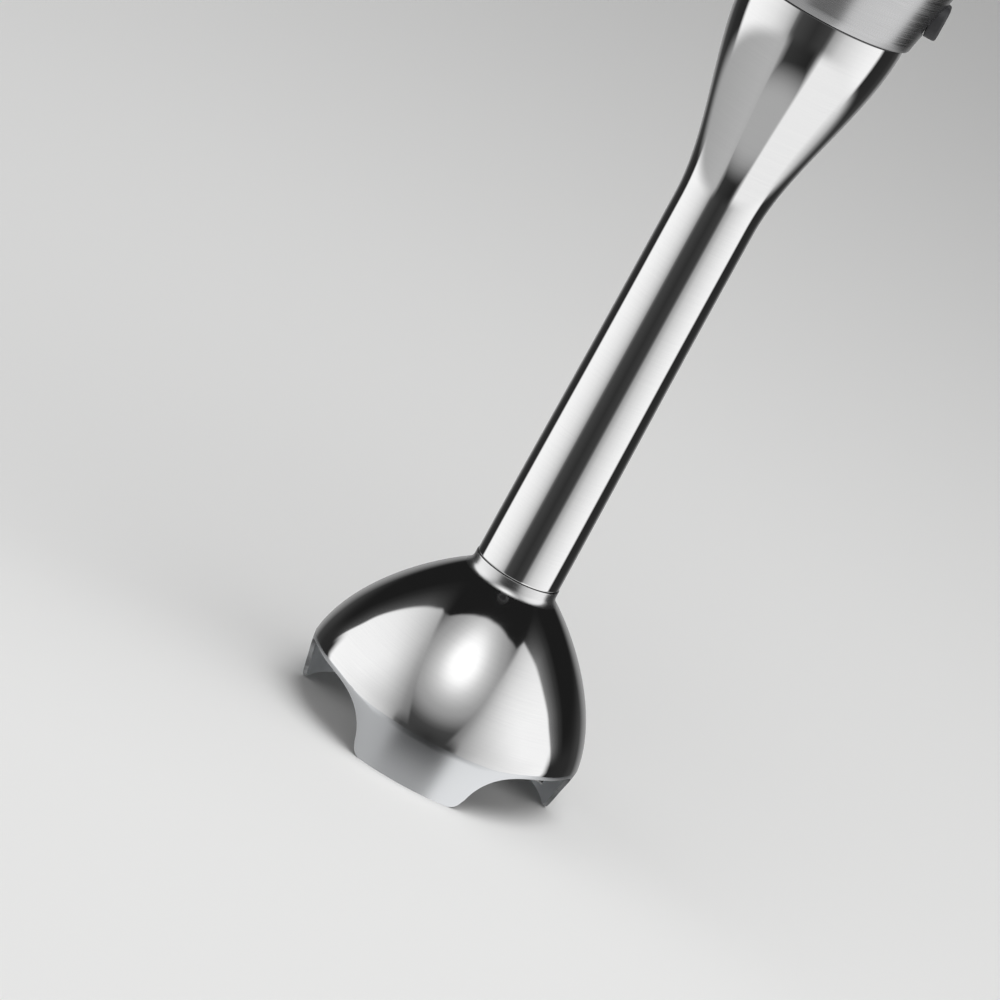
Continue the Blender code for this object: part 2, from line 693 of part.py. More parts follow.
def wrap_patch(low, high, half, inset, proud, margin):
    """A curved patch on the back of the casing, with its ends rounded in."""
    heights = [low - margin + (high - low + 2 * margin) * k / 8.0 for k in range(9)]
    loops = []
    for k, z in enumerate(heights):
        end = min(k, 8 - k)
        narrow = (0.72, 0.95, 1.0, 1.0, 1.0)[end]
        loop = []
        for radius, way in ((housing_outer(z) + proud, 1), (housing_outer(z) - inset, -1)):
            span = (half * narrow) + math.degrees(margin / radius)
            arc = arc_points(radius, 90.0 - span, 90.0 + span, 12)
            loop += arc if way > 0 else arc[::-1]
        loops.append([(x, y, z) for x, y in loop])
    return loft(loops)


def stadium_slot(margin):
    """Outline of the button panel: middle height, width, height and corner radius."""
    mid = (BUTTON_Z[0] + BUTTON_Z[1]) / 2
    wide = 2 * BUTTON_R + 6.0
    tall = BUTTON_Z[0] - BUTTON_Z[1] + 2 * BUTTON_R + 8.0
    return mid, wide + 2 * margin, tall + 2 * margin, wide / 2 - 0.1 + margin


def button_panel():
    mid, wide, tall, radius = stadium_slot(0.0)
    depth = PANEL_BACK - PANEL_Y
    loops = [rounded(wide, tall, radius, 0.0, 6), rounded(wide, tall, radius, depth - 0.8, 6),
             rounded(wide - 1.6, tall - 1.6, radius - 0.8, depth, 6)]
    return facing_front(loft(loops), mid, PANEL_BACK)


def panel_hole(margin):
    mid, wide, tall, radius = stadium_slot(margin)
    loops = [rounded(wide, tall, radius, 0.0, 6), rounded(wide, tall, radius, 20.0, 6)]
    return facing_front(loft(loops), mid, PANEL_BACK + 6.0)


def push_button():
    r = BUTTON_R
    loops = [circle(3.0, 0.0, 24), circle(3.0, 1.2, 24), circle(r, 1.2, 24), circle(r, 7.6, 24),
             circle(r - 0.8, 8.4, 24), circle(r - 3.0, 8.0, 24)]
    return loft(loops)


def button_hole(z):
    loops = [circle(BUTTON_R + GAP, 0.0, 24), circle(BUTTON_R + GAP, 20.0, 24)]
    return facing_front(loft(loops), z, PANEL_BACK + 4.0)


def build_casing(parent):
    sleeve = finish("lower_sleeve", lower_sleeve(), SATIN, parent)
    start = latch_outer() + 0.1
    for side, word in ((-1, "left"), (1, "right")):
        pocket = [rounded(11.6, 9.2, 3.3, start), rounded(11.6, 9.2, 3.3, start + 20.0)]
        cut(sleeve, facing_side(loft(pocket), side, latch_middle()), "pocket_" + word)
    front = finish("front_shell", half_shell(180.0, 360.0), BLACK, parent)
    cut(front, panel_hole(GAP), "panel_hole")
    rear = finish("rear_shell", half_shell(0.0, 180.0), BLACK, parent)
    low = SLEEVE_TOP + 16.0
    high = SHELL_TOP - 31.0
    cut(rear, wrap_patch(low, high, 44.0, 1.0 + GAP, 3.0, GAP), "grip_recess")
    for row in range(4):
        z = SHELL_TOP - 22.0 + 4.6 * row
        cut(rear, box(-13.0, 13.0, 12.0, 50.0, z, z + 1.8), "vent_%d" % (row + 1))
    finish("rear_grip", wrap_patch(low, high, 44.0, 1.0, 0.5, 0.0), RUBBER, parent)
    panel = finish("button_panel", button_panel(), GREY, parent)
    for z, word in zip(BUTTON_Z, ("on", "turbo")):
        cut(panel, button_hole(z), "hole_" + word)
    build_top(parent)


def top_cap():
    """Lid with a hub that rests on the speed control."""
    r = HEAD_R
    low = CAP_LOW
    return turned([(4.0, low - 0.4), (7.0, low - 0.4), (8.0, low + 3.6), (r - 3.2, low + 3.6), (r - 2.6, low),
                   (r, low), (r, CAP_TOP - 3.5), (r - 1.2, CAP_TOP - 1.2), (r - 4.0, CAP_TOP),
                   (DIAL_R + 1.0, CAP_TOP), (DIAL_R + 0.6, CAP_TOP - 1.0), (4.0, CAP_TOP - 1.0)], 40)


def build_top(parent):
    cap = finish("top_cap", top_cap(), GREY, parent)
    bore = [(CORD_R + 1.5, CAP_LOW - 9.0), (CORD_R + 1.5, CAP_TOP + 9.0)]
    cut(cap, turned_solid(bore, 26, 0.0, GROMMET_Y), "grommet_hole")
    neck = CORD_R + 1.2
    flange = CAP_LOW + 3.6 - GAP
    top = CAP_TOP + 5.0
    profile = ((CORD_R, CAP_LOW - 3.6), (neck + 0.9, CAP_LOW - 3.6), (neck + 0.9, flange), (neck, flange),
               (neck, top - 1.4), (neck - 0.4, top), (CORD_R, top))
    loops = [circle(r, z, 26, 0.0, GROMMET_Y) for r, z in profile]
    finish("cord_grommet", loft(loops, closed=True), RUBBER, parent)


def socket_frame():
    """Cup that takes the foot's plug, with a flange that seats in the sleeve."""
    low = JOINT_Z + 11.4
    floor = JOINT_Z + 28.0
    top = JOINT_Z + 31.0
    cup = SOCKET_R + 2.0
    return turned([(SOCKET_R, low), (cup, low), (cup, floor), (housing_inner(floor) - GAP, floor),
                   (housing_inner(top) - GAP, top), (4.0, top), (4.0, floor), (SOCKET_R, floor)], 32)


def end_frame(low, high, lip_low, boss):
    """Bearing plate: the bore opens on the side away from the lip."""
    rim_low = housing_inner(low) - GAP
    rim_high = housing_inner(high) - GAP
    if lip_low:
        return turned([(4.0, low), (rim_low, low), (rim_high, high), (11.0, high), (11.0, boss), (8.3, boss),
                       (8.3, low + 1.2), (4.0, low + 1.2)], 28)
    return turned([(8.3, low), (rim_low, low), (rim_high, high), (11.0, high), (11.0, boss), (4.0, boss),
                   (4.0, boss - 1.2), (8.3, boss - 1.2)], 28)


def ball_bearing(low, high):
    return turned([(MOTOR_BORE, low), (8.0, low), (8.0, high), (6.3, high), (6.1, high - 0.5),
                   (4.6, high - 0.5), (4.4, high), (MOTOR_BORE, high)], 20)


def stator_core():
    """Two poles face the armature on X; the coils sit in the hollows on Y."""
    loops = []
    sides = 48
    for inner, z in ((True, FIELD_LOW), (False, FIELD_LOW), (False, FIELD_TOP), (True, FIELD_TOP)):
        loop = []
        for k in range(sides):
            angle = 2 * math.pi * k / sides
            off_pole = abs((math.degrees(angle) + 90.0) % 180.0 - 90.0)
            radius = MOTOR_R
            if inner:
                radius = ARMATURE_R + (AIR_GAP if off_pole < 46.0 else 6.2)
            loop.append((radius * math.cos(angle), radius * math.sin(angle), z))
        loops.append(loop)
    return loft(loops, closed=True)


def field_coil(middle):
    low = FIELD_LOW - 7.0
    high = FIELD_TOP + 7.0
    loops = []
    for z, wide in ((low, 30.0), (low + 3.0, 34.0), (high - 3.0, 34.0), (high, 30.0)):
        arc = arc_points(ARMATURE_R + 5.7, middle - wide, middle + wide, 10)
        arc += arc_points(ARMATURE_R + 0.9, middle + wide, middle - wide, 10)
        loops.append([(x, y, z) for x, y in arc])
    return loft(loops)


def motor_mount(low, high):
    heights = [low, (low + high) / 2, high]
    outer = [(housing_inner(z) - GAP, z) for z in heights]
    return turned(outer + [(ARMATURE_R + 7.0, high), (ARMATURE_R + 7.0, low)], 28)


def brush_holder(side):
    reach = housing_inner(BRUSH_Z + 4.5) - 0.6
    end = min(MOTOR_R + 0.1, math.sqrt(reach * reach - 4.5 * 4.5))
    loops = [rounded(9.0, 9.0, 1.0, 13.0, 2), rounded(9.0, 9.0, 1.0, end, 2), rounded(5.6, 6.6, 0.3, end, 2),
             rounded(5.6, 6.6, 0.3, 13.0, 2)]
    return facing_side(loft(loops, closed=True), side, BRUSH_Z)


def carbon_brush(side):
    loops = [rounded(5.0, 6.0, 0.3, COMMUTATOR_R + GAP, 2), rounded(5.0, 6.0, 0.3, 19.0, 2)]
    return facing_side(loft(loops), side, BRUSH_Z)


def screw_radius():
    return housing_inner(JOINT_Z + 31.0) - 3.7


def frame_screw(side):
    """Screw from the bearing plate down into the flange of the socket frame."""
    seat = PLATE_Z + 4.0 + GAP
    low = JOINT_Z + 28.3
    profile = [(0.8, low), (1.2, low + 0.4), (1.2, seat), (1.9, seat), (1.9, seat + 1.6), (1.0, seat + 1.9)]
    return turned_solid(profile, 14, 0.0, side * screw_radius())


def build_inside(parent):
    socket = finish("socket_frame", socket_frame(), GREY, parent)
    low = GROOVE_Z + GAP
    latch = ring(PLUG_R - GROOVE_DEPTH + GAP, latch_outer(), low, low + LATCH_HEIGHT, 0.0, 28)
    finish("latch_ring", latch, SATIN, parent)
    finish("motor_seal", ring(MOTOR_BORE, 3.7, JOINT_Z + 28.3, JOINT_Z + 30.7), RUBBER, parent)
    plate = finish("lower_end_frame", end_frame(PLATE_Z, PLATE_Z + 4.0, True, PLATE_Z + 7.7), GREY, parent)
    for side, word in ((-1, "front"), (1, "rear")):
        for obj, kind in ((socket, "socket_bore_"), (plate, "plate_bore_")):
            bore = [(1.5, JOINT_Z + 20.0), (1.5, JOINT_Z + 45.0)]
            cut(obj, turned_solid(bore, 14, 0.0, side * screw_radius()), kind + word)
        finish("frame_screw_" + word, frame_screw(side), SATIN, parent)
    high = UPPER_PLATE_Z
    finish("lower_ball_bearing", ball_bearing(PLATE_Z + 1.5, PLATE_Z + 7.5), SATIN, parent)
    finish("upper_end_frame", end_frame(high, high + 4.0, False, high + 8.0), GREY, parent)
    finish("upper_ball_bearing", ball_bearing(high + 0.3, high + 6.5), SATIN, parent)
    finish("stator_core", stator_core(), IRON, parent)
    finish("field_coil_front", field_coil(270.0), COPPER, parent)
    finish("field_coil_rear", field_coil(90.0), COPPER, parent)
    finish("lower_motor_mount", motor_mount(FIELD_LOW - 8.0, FIELD_LOW - GAP), RUBBER, parent)
    finish("upper_motor_mount", motor_mount(FIELD_TOP + GAP, BRUSH_Z - 4.8), RUBBER, parent)
    for side, word in ((-1, "left"), (1, "right")):
        finish("brush_holder_" + word, brush_holder(side), BRASS, parent)
        finish("carbon_brush_" + word, carbon_brush(side), RUBBER, parent)


def board_half_width(low, high):
    """Half the width a flat board may have between two heights without touching the casing."""
    reach = min(housing_inner(low), housing_inner(high), GRIP_R - HOUSING_WALL) - 0.5
    return math.sqrt(reach * reach - BOARD_Y * BOARD_Y)


def build_electronics(parent):
    low = UPPER_PLATE_Z + 10.0
    high = SHELL_TOP - 7.8
    half = board_half_width(low, high)
    back = PANEL_BACK + 0.3
    sheet = (BUTTON_Z[1] - 7.0, BUTTON_Z[0] + 7.0)
    finish("button_membrane", box(-8.0, 8.0, back, back + 0.8, *sheet), RUBBER, parent)
    finish("control_board", box(-half, half, BOARD_Y, BOARD_Y + 1.4, low, high), GREEN, parent)
    face = back + 0.8 + BUTTON_STROKE
    for z, word in zip(BUTTON_Z, ("on", "turbo")):
        switch = box(-6.0, 6.0, face, BOARD_Y - GAP, z - 4.5, z + 4.5, 0.4)
        finish(word + "_switch", switch, BLACK, parent)
    behind = BOARD_Y + 1.4 + GAP
    case = box(-7.0, 7.0, behind, behind + 7.8, low + 6.0, high - 9.0, 0.6)
    finish("capacitor", case, WHITE, parent)
    profile = [(8.0, CAP_LOW - 7.4), (8.0, CAP_LOW - 0.7), (3.0, CAP_LOW - 0.7), (2.7, CAP_LOW - 0.4),
               (2.7, CAP_TOP + 3.6)]
    finish("potentiometer", turned_solid(profile, 24), GREY, parent)


def speed_dial():
    low = CAP_TOP - 0.7
    top = low + DIAL_HEIGHT
    return turned_solid([(0.8, CAP_TOP + 4.0), (3.0, CAP_TOP + 4.0), (3.0, low), (DIAL_R, low),
                         (DIAL_R, top - 3.0), (DIAL_R - 1.6, top - 0.8), (DIAL_R - 3.0, top), (0.8, top)], 32)


def main():
    clear_scene()
    foot = make_body("mixing_foot_body", (0.0, 0.0, 0.0))
    build_foot(foot)
    build_blade_shaft(make_body("blade_shaft_body", (0.0, 0.0, BLADE_Z), foot))
    unit = make_body("motor_unit_body", (0.0, 0.0, JOINT_Z), foot)
    build_casing(unit)
    build_inside(unit)
    build_electronics(unit)
    build_rotor(make_body("rotor_body", (0.0, 0.0, COUPLING_Z), unit))
    for z, word in zip(BUTTON_Z, ("on", "turbo")):
        button = facing_front(push_button(), z, PANEL_BACK)
        finish(word + "_button", button, GREY, unit, origin=(0.0, PANEL_BACK, z))
    for side, word in ((-1, "left"), (1, "right")):
        start = (side * (latch_outer() + GAP), 0.0, latch_middle())
        finish("release_button_" + word, release_button(side), BLACK, unit, origin=start)
    finish("speed_dial", speed_dial(), BLACK, unit, origin=(0.0, 0.0, CAP_TOP - 0.7))


main()
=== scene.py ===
import math

import bmesh
import bpy
from mathutils import Matrix, Vector


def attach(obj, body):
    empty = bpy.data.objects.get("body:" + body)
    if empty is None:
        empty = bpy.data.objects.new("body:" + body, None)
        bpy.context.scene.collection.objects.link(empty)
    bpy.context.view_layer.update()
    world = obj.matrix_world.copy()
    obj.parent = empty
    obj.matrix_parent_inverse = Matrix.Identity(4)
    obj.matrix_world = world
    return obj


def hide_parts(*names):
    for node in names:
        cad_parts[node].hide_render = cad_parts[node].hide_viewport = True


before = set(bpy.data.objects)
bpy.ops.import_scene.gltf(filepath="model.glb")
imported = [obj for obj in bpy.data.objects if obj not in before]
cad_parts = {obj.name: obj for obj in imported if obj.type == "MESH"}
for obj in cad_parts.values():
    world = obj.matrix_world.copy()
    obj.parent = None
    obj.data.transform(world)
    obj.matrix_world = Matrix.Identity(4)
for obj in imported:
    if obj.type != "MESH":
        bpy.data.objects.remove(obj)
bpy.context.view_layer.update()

# Immersion blender: polished mixing foot and blade, with the lift-off motor unit above them.
# Sizes are millimetres. +Z is up; the buttons and one tab of the bell face -Y.

MM = 0.001
FOOT = "mixing_foot"
BLADES = "blade_shaft"
UNIT = "motor_unit"
ROTOR = "rotor"

# Bell
BELL_R = 35.99
CREASE_Z = 13.4
CREASE_LIFT = 1.2
COLLAR_TOP = 50.95
COLLAR_R = 11.15
FILLET_R = 2.6
FILLET_Z = 49.35
BELL_WALL = 1.0
TAB_HALF = 25.0           # half the angle of one tab
TAB_CORNER = 3.0
ARCH_Z = 13.55            # top of the opening between two tabs
HALF_PITCH = 60.0         # from the middle of a tab to the middle of an opening

# Foot tube and drive line
TUBE_LOW = 51.05
TUBE_TOP = 205.7
TUBE_R = 10.95
WAIST_R = 10.5
FLARE_R = 20.5
WAIST_Z = 130.0
FLARE_Z = 150.0
JOINT_Z = 206.0
SHAFT_BORE = 2.8
MOTOR_BORE = 2.7
PLUG_R = 17.2

# Studio: angles in degrees, the lamp strip's middle on the overhead chart
LAMP_P = -2.0
LAMP_Q = 33.0
CAMERA_RISE = 15.0
CAMERA_ROLL = 28.65       # so that the shaft leans right
CAMERA_REACH = 1.332      # metres from the target

# Motor unit
SLEEVE_TOP = 250.0
SHELL_LOW = 250.6
SHELL_TOP = 383.0
CASING_WALL = 2.2
CASING = ((206.0, 21.5), (223.6, 25.145), (250.0, 29.6), (276.6, 30.8), (305.86, 30.4), (349.75, 27.8),
          (369.7, 27.8), (385.0, 28.2), (396.0, 28.2))
BUTTON_PLACES = (("on_button", 366.0), ("turbo_button", 350.0))
RELEASE_Z = 215.6
GROMMET_Y = 19.0
SCREW_R = 22.79           # from the axis to the screws in the socket's flange
LID_FACE = 392.0
NUMBER_RING_R = 19.6
FIRST_NUMBER = -135.0     # angle of the dial's lowest number
NUMBER_STEP = 33.75


# ---------------------------------------------------------------- working in edit mode

def nothing_selected():
    if bpy.context.mode != "OBJECT":
        bpy.ops.object.mode_set(mode="OBJECT")
    bpy.ops.object.select_all(action="DESELECT")


def take(piece):
    """Select one piece alone and make it the active one."""
    nothing_selected()
    piece.select_set(True)
    bpy.context.view_layer.objects.active = piece


def fix_place(piece):
    """Move a piece's place, turn and size into its mesh."""
    take(piece)
    bpy.ops.object.transform_apply(location=True, rotation=True, scale=True)


def open_mesh(piece):
    take(piece)
    bpy.ops.object.mode_set(mode="EDIT")


def pick(kind, test):
    """Select only the vertices, edges or faces whose middle, in millimetres, passes the test."""
    bpy.ops.mesh.select_mode(type=kind)
    bpy.ops.mesh.select_all(action="DESELECT")
    mesh = bpy.context.edit_object.data
    bm = bmesh.from_edit_mesh(mesh)
    for item in {"VERT": bm.verts, "EDGE": bm.edges, "FACE": bm.faces}[kind]:
        corners = [item.co] if kind == "VERT" else [v.co for v in item.verts]
        middle = sum(corners, Vector()) / len(corners) / MM
        if test(item, middle):
            item.select_set(True)
    bm.select_flush_mode()
    bmesh.update_edit_mesh(mesh)


def tidy_skin():
    """Merge doubled points and turn every face outwards."""
    bpy.ops.mesh.select_all(action="SELECT")
    bpy.ops.mesh.remove_doubles(threshold=0.004 * MM)
    bpy.ops.mesh.normals_make_consistent(inside=False)


def modify(piece, kind, **settings):
    """Add a modifier and apply it at once."""
    take(piece)
    bpy.ops.object.modifier_add(type=kind)
    modifier = piece.modifiers[-1]
    for name, value in settings.items():
        setattr(modifier, name, value)
    bpy.ops.object.modifier_apply(modifier=modifier.name)


def cut(piece, tool, operation="DIFFERENCE"):
    """Cut a piece with a tool, which is used up."""
    modify(piece, "BOOLEAN", object=tool, operation=operation, solver="EXACT")
    bpy.data.objects.remove(tool, do_unlink=True)


def soften(piece, width, segments=2, degrees=40.0):
    modify(piece, "BEVEL", width=width * MM, segments=segments, limit_method="ANGLE",
           angle_limit=math.radians(degrees), use_clamp_overlap=True, harden_normals=False)


def draw_line(name, points):
    """Draw a chain of edges through points in millimetres and leave the mesh open."""
    nothing_selected()
    bpy.ops.mesh.primitive_plane_add(size=MM)
    piece = bpy.context.object
    piece.name = name
    bpy.ops.object.mode_set(mode="EDIT")
    bpy.ops.mesh.select_mode(type="VERT")
    bpy.ops.mesh.select_all(action="SELECT")
    bpy.ops.mesh.merge(type="CENTER")
    here = Vector((0.0, 0.0, 0.0))
    for number, point in enumerate(points):
        there = Vector(point) * MM
        if number == 0:
            bpy.ops.transform.translate(value=there - here)
        else:
            bpy.ops.mesh.extrude_region_move(TRANSFORM_OT_translate={"value": there - here})
        here = there
    return piece


def round_corners(corners, segments=5):
    """Round chosen corners of the open line; each is (place, radius)."""
    for place, radius in corners:
        pick("VERT", lambda v, middle: (middle - Vector(place)).length < 0.003)
        bpy.ops.mesh.bevel(offset=radius * MM, offset_type="OFFSET", segments=segments, affect="VERTICES")


def turned(name, outline, steps=96, centre=(0.0, 0.0), about="Z"):
    """Spin a (radius, height) outline into a ring or a solid. A third number rounds that corner.

    About Z, the centre is (x, y). About Y, the height runs along Y and the centre is (x, z).
    """
    points = []
    corners = []
    for entry in outline:
        radius, height = entry[:2]
        if about == "Z":
            place = (centre[0], centre[1] - radius, height)
        else:
            place = (centre[0] + radius, height, centre[1])
        points.append(place)
        if len(entry) > 2:
            corners.append((place, entry[2]))
    piece = draw_line(name, points)
    bpy.ops.mesh.select_all(action="SELECT")
    bpy.ops.mesh.remove_doubles(threshold=0.001 * MM)
    round_corners(corners)
    bpy.ops.mesh.select_all(action="SELECT")
    if about == "Z":
        middle, axis = (centre[0] * MM, centre[1] * MM, 0.0), (0.0, 0.0, 1.0)
    else:
        middle, axis = (centre[0] * MM, 0.0, centre[1] * MM), (0.0, 1.0, 0.0)
    bpy.ops.mesh.spin(steps=steps, angle=2 * math.pi, center=middle, axis=axis)
    tidy_skin()
    nothing_selected()
    return piece


def block(name, low, high):
    """A block between two corners in millimetres, left open for shaping."""
    nothing_selected()
    bpy.ops.mesh.primitive_cube_add(size=1.0)
    piece = bpy.context.object
    piece.name = name
    bpy.ops.object.mode_set(mode="EDIT")
    bpy.ops.mesh.select_all(action="SELECT")
    size = [(b - a) * MM for a, b in zip(low, high)]
    bpy.ops.transform.resize(value=size)
    bpy.ops.transform.translate(value=[(a + b) / 2 * MM for a, b in zip(low, high)])
    return piece


def round_long_edges(along, radius, segments=10):
    """Round the edges of the open block that run along one axis (0, 1 or 2)."""
    def runs_along(edge, middle):
        way = edge.verts[1].co - edge.verts[0].co
        return abs(way[along]) > 0.99 * way.length
    pick("EDGE", runs_along)
    bpy.ops.mesh.bevel(offset=radius * MM, segments=segments, affect="EDGES")


def rod(name, radius, low, high, centre=(0.0, 0.0), sides=48, about="Z"):
    """A plain rod, used for bores and joined bosses."""
    nothing_selected()
    bpy.ops.mesh.primitive_cylinder_add(vertices=sides, radius=radius * MM, depth=(high - low) * MM)
    piece = bpy.context.object
    piece.name = name
    middle = (low + high) / 2
    if about == "Y":
        piece.rotation_euler = (math.pi / 2, 0.0, 0.0)
        piece.location = (centre[0] * MM, middle * MM, centre[1] * MM)
    else:
        piece.location = (centre[0] * MM, centre[1] * MM, middle * MM)
    bpy.ops.object.transform_apply(location=True, rotation=True, scale=True)
    return piece


def join(piece, others):
    take(piece)
    for other in others:
        other.select_set(True)
    bpy.ops.object.join()
    return piece


def coat(piece, *finishes):
    piece.data.materials.clear()
    for finish in finishes:
        piece.data.materials.append(finish)


def fit(piece, body, node, *finishes, smooth=35.0):
    """Shade a finished piece, give it its finishes and set it in place of its CAD node."""
    fix_place(piece)
    bpy.ops.object.shade_smooth_by_angle(angle=math.radians(smooth))
    if len(piece.data.materials) != len(finishes):
        coat(piece, *finishes)
    piece.name = node + "_skin"
    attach(piece, body)
    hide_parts(node)
    return piece


# ---------------------------------------------------------------- finishes

def new_finish(name, colour, metallic, roughness, **more):
    finish = bpy.data.materials.new(name)
    finish.use_nodes = True
    shader = finish.node_tree.nodes["Principled BSDF"]
    shader.inputs["Base Color"].default_value = (*colour, 1.0)
    shader.inputs["Metallic"].default_value = metallic
    shader.inputs["Roughness"].default_value = roughness
    for socket, value in more.items():
        shader.inputs[socket.replace("_", " ")].default_value = value
    return finish


def node(tree, kind, **settings):
    made = tree.nodes.new(kind)
    for name, value in settings.items():
        setattr(made, name, value)
    return made


def feed(tree, socket, value):
    if isinstance(value, bpy.types.NodeSocket):
        tree.links.new(value, socket)
    else:
        socket.default_value = value


def sum_of(tree, operation, *values):
    made = node(tree, "ShaderNodeMath", operation=operation)
    for socket, value in zip(made.inputs, values):
        feed(tree, socket, value)
    return made.outputs[0]


def spread(tree, value, low, high, to_low, to_high, smooth=False):
    made = node(tree, "ShaderNodeMapRange", interpolation_type="SMOOTHSTEP" if smooth else "LINEAR")
    for name, number in (("Value", value), ("From Min", low), ("From Max", high), ("To Min", to_low),
                         ("To Max", to_high)):
        feed(tree, made.inputs[name], number)
    return made.outputs["Result"]


def shades(tree, value, stops):
    """Turn a number into a colour or a grey by stops of (place, grey or colour)."""
    made = node(tree, "ShaderNodeValToRGB")
    feed(tree, made.inputs["Fac"], value)
    points = made.color_ramp.elements
    points[1].position = stops[-1][0]
    points[0].position = stops[0][0]
    for place, _ in stops[1:-1]:
        points.new(place)
    for point, (_, shade) in zip(points, stops):
        point.color = (shade, shade, shade, 1.0) if isinstance(shade, float) else (*shade, 1.0)
    return made.outputs["Color"]


def grain(finish, size, stretch=(1.0, 1.0, 1.0), detail=4.0):
    """Noise on the piece's own coordinates; size is millimetres, stretch squeezes it along an axis."""
    tree = finish.node_tree
    place = node(tree, "ShaderNodeTexCoord")
    mapping = node(tree, "ShaderNodeMapping")
    mapping.inputs["Scale"].default_value = stretch
    tree.links.new(place.outputs["Object"], mapping.inputs["Vector"])
    noise = node(tree, "ShaderNodeTexNoise")
    noise.inputs["Scale"].default_value = 1.0 / (size * MM)
    noise.inputs["Detail"].default_value = detail
    tree.links.new(mapping.outputs["Vector"], noise.inputs["Vector"])
    return noise.outputs["Fac"]


def drive(finish, value, socket):
    tree = finish.node_tree
    tree.links.new(value, tree.nodes["Principled BSDF"].inputs[socket])


def vary(finish, pattern, socket, low, high):
    """Let a pattern move one number of the shader between two values."""
    drive(finish, spread(finish.node_tree, pattern, 0.3, 0.7, low, high), socket)


def tint(finish, pattern, dark, light, low=0.3, high=0.7):
    drive(finish, shades(finish.node_tree, pattern, [(low, dark), (high, light)]), "Base Color")


def relief(finish, pattern, depth, strength=1.0):
    """Raise the surface by a pattern; depth is millimetres."""
    tree = finish.node_tree
    bump = node(tree, "ShaderNodeBump")
    bump.inputs["Distance"].default_value = depth * MM
    bump.inputs["Strength"].default_value = strength
    tree.links.new(pattern, bump.inputs["Height"])
    drive(finish, bump.outputs["Normal"], "Normal")


def polished_steel():
    """Mirror steel with the faint rings left by the polishing wheel."""
    finish = new_finish("polished_steel", (0.86, 0.86, 0.86), 1.0, 0.05)
    rings = grain(finish, 18.0, (1.0, 1.0, 90.0))
    handling = grain(finish, 14.0)
    vary(finish, handling, "Roughness", 0.035, 0.075)
    tint(finish, rings, (0.845, 0.845, 0.848), (0.875, 0.875, 0.872))
    relief(finish, rings, 0.001, 0.12)
    return finish


def soft_steel(name, dark, light, roughness, swing, size, squeeze=1.0, metallic=1.0):
    """Steel without a mirror polish, clouded or ringed between two shades."""
    finish = new_finish(name, dark, metallic, roughness)
    pattern = grain(finish, size, (1.0, 1.0, squeeze))
    vary(finish, pattern, "Roughness", roughness - swing, roughness + swing)
    tint(finish, pattern, dark, light)
    return finish


def brushed_steel(name, colour, roughness, size=16.0, squeeze=110.0):
    """Steel with lines brushed round the axis."""
    finish = new_finish(name, colour, 1.0, roughness)
    lines = grain(finish, size, (1.0, 1.0, squeeze), detail=5.0)
    vary(finish, lines, "Roughness", roughness - 0.07, roughness + 0.07)
    dark = [c * 0.9 for c in colour]
    light = [min(1.0, c * 1.07) for c in colour]
    tint(finish, lines, dark, light)
    relief(finish, lines, 0.006, 0.5)
    return finish


def plain_metal(name, colour, roughness, size=2.0, depth=0.004):
    finish = new_finish(name, colour, 1.0, roughness)
    cloud = grain(finish, size)
    vary(finish, cloud, "Roughness", roughness - 0.06, roughness + 0.08)
    tint(finish, cloud, [c * 0.88 for c in colour], [min(1.0, c * 1.08) for c in colour])
    relief(finish, grain(finish, size * 0.15), depth, 0.5)
    return finish


def moulded_plastic(name, colour, roughness, size=0.35, depth=0.012):
    """Moulded plastic with a fine spark-eroded texture."""
    finish = new_finish(name, colour, 0.0, roughness)
    cloud = grain(finish, 9.0)
    pebble = grain(finish, size, detail=3.0)
    vary(finish, cloud, "Roughness", roughness - 0.04, roughness + 0.05)
    tint(finish, cloud, [c * 0.9 for c in colour], [c * 1.1 for c in colour])
    relief(finish, pebble, depth, 0.6)
    return finish


def layered(name, dark, light, pitch, metallic, roughness, axis="Z"):
    """Thin layers or turns of wire stacked along an axis; pitch is millimetres."""
    finish = new_finish(name, light, metallic, roughness)
    tree = finish.node_tree
    place = node(tree, "ShaderNodeTexCoord")
    wave = node(tree, "ShaderNodeTexWave", bands_direction=axis)
    wave.inputs["Scale"].default_value = 1.0 / (pitch * MM) / 3.1831
    wave.inputs["Distortion"].default_value = 0.4
    wave.inputs["Detail Scale"].default_value = 300.0
    tree.links.new(place.outputs["Object"], wave.inputs["Vector"])
    tint(finish, wave.outputs["Fac"], dark, light, 0.1, 0.8)
    relief(finish, wave.outputs["Fac"], pitch * 0.3, 0.7)
    vary(finish, grain(finish, 3.0), "Roughness", roughness - 0.05, roughness + 0.08)
    return finish


def circuit_board():
    """Green lacquer over copper tracks."""
    finish = new_finish("circuit_board", (0.03, 0.16, 0.06), 0.0, 0.35, Coat_Weight=0.3)
    tree = finish.node_tree
    place = node(tree, "ShaderNodeTexCoord")
    brick = node(tree, "ShaderNodeTexBrick")
    brick.inputs["Scale"].default_value = 260.0
    brick.inputs["Mortar Size"].default_value = 0.03
    mapping = node(tree, "ShaderNodeMapping")
    mapping.inputs["Rotation"].default_value = (math.pi / 2, 0.0, 0.0)
    tree.links.new(place.outputs["Object"], mapping.inputs["Vector"])
    tree.links.new(mapping.outputs["Vector"], brick.inputs["Vector"])
    tint(finish, brick.outputs["Fac"], (0.02, 0.13, 0.05), (0.10, 0.26, 0.08), 0.2, 0.8)
    vary(finish, grain(finish, 4.0), "Roughness", 0.3, 0.42)
    return finish


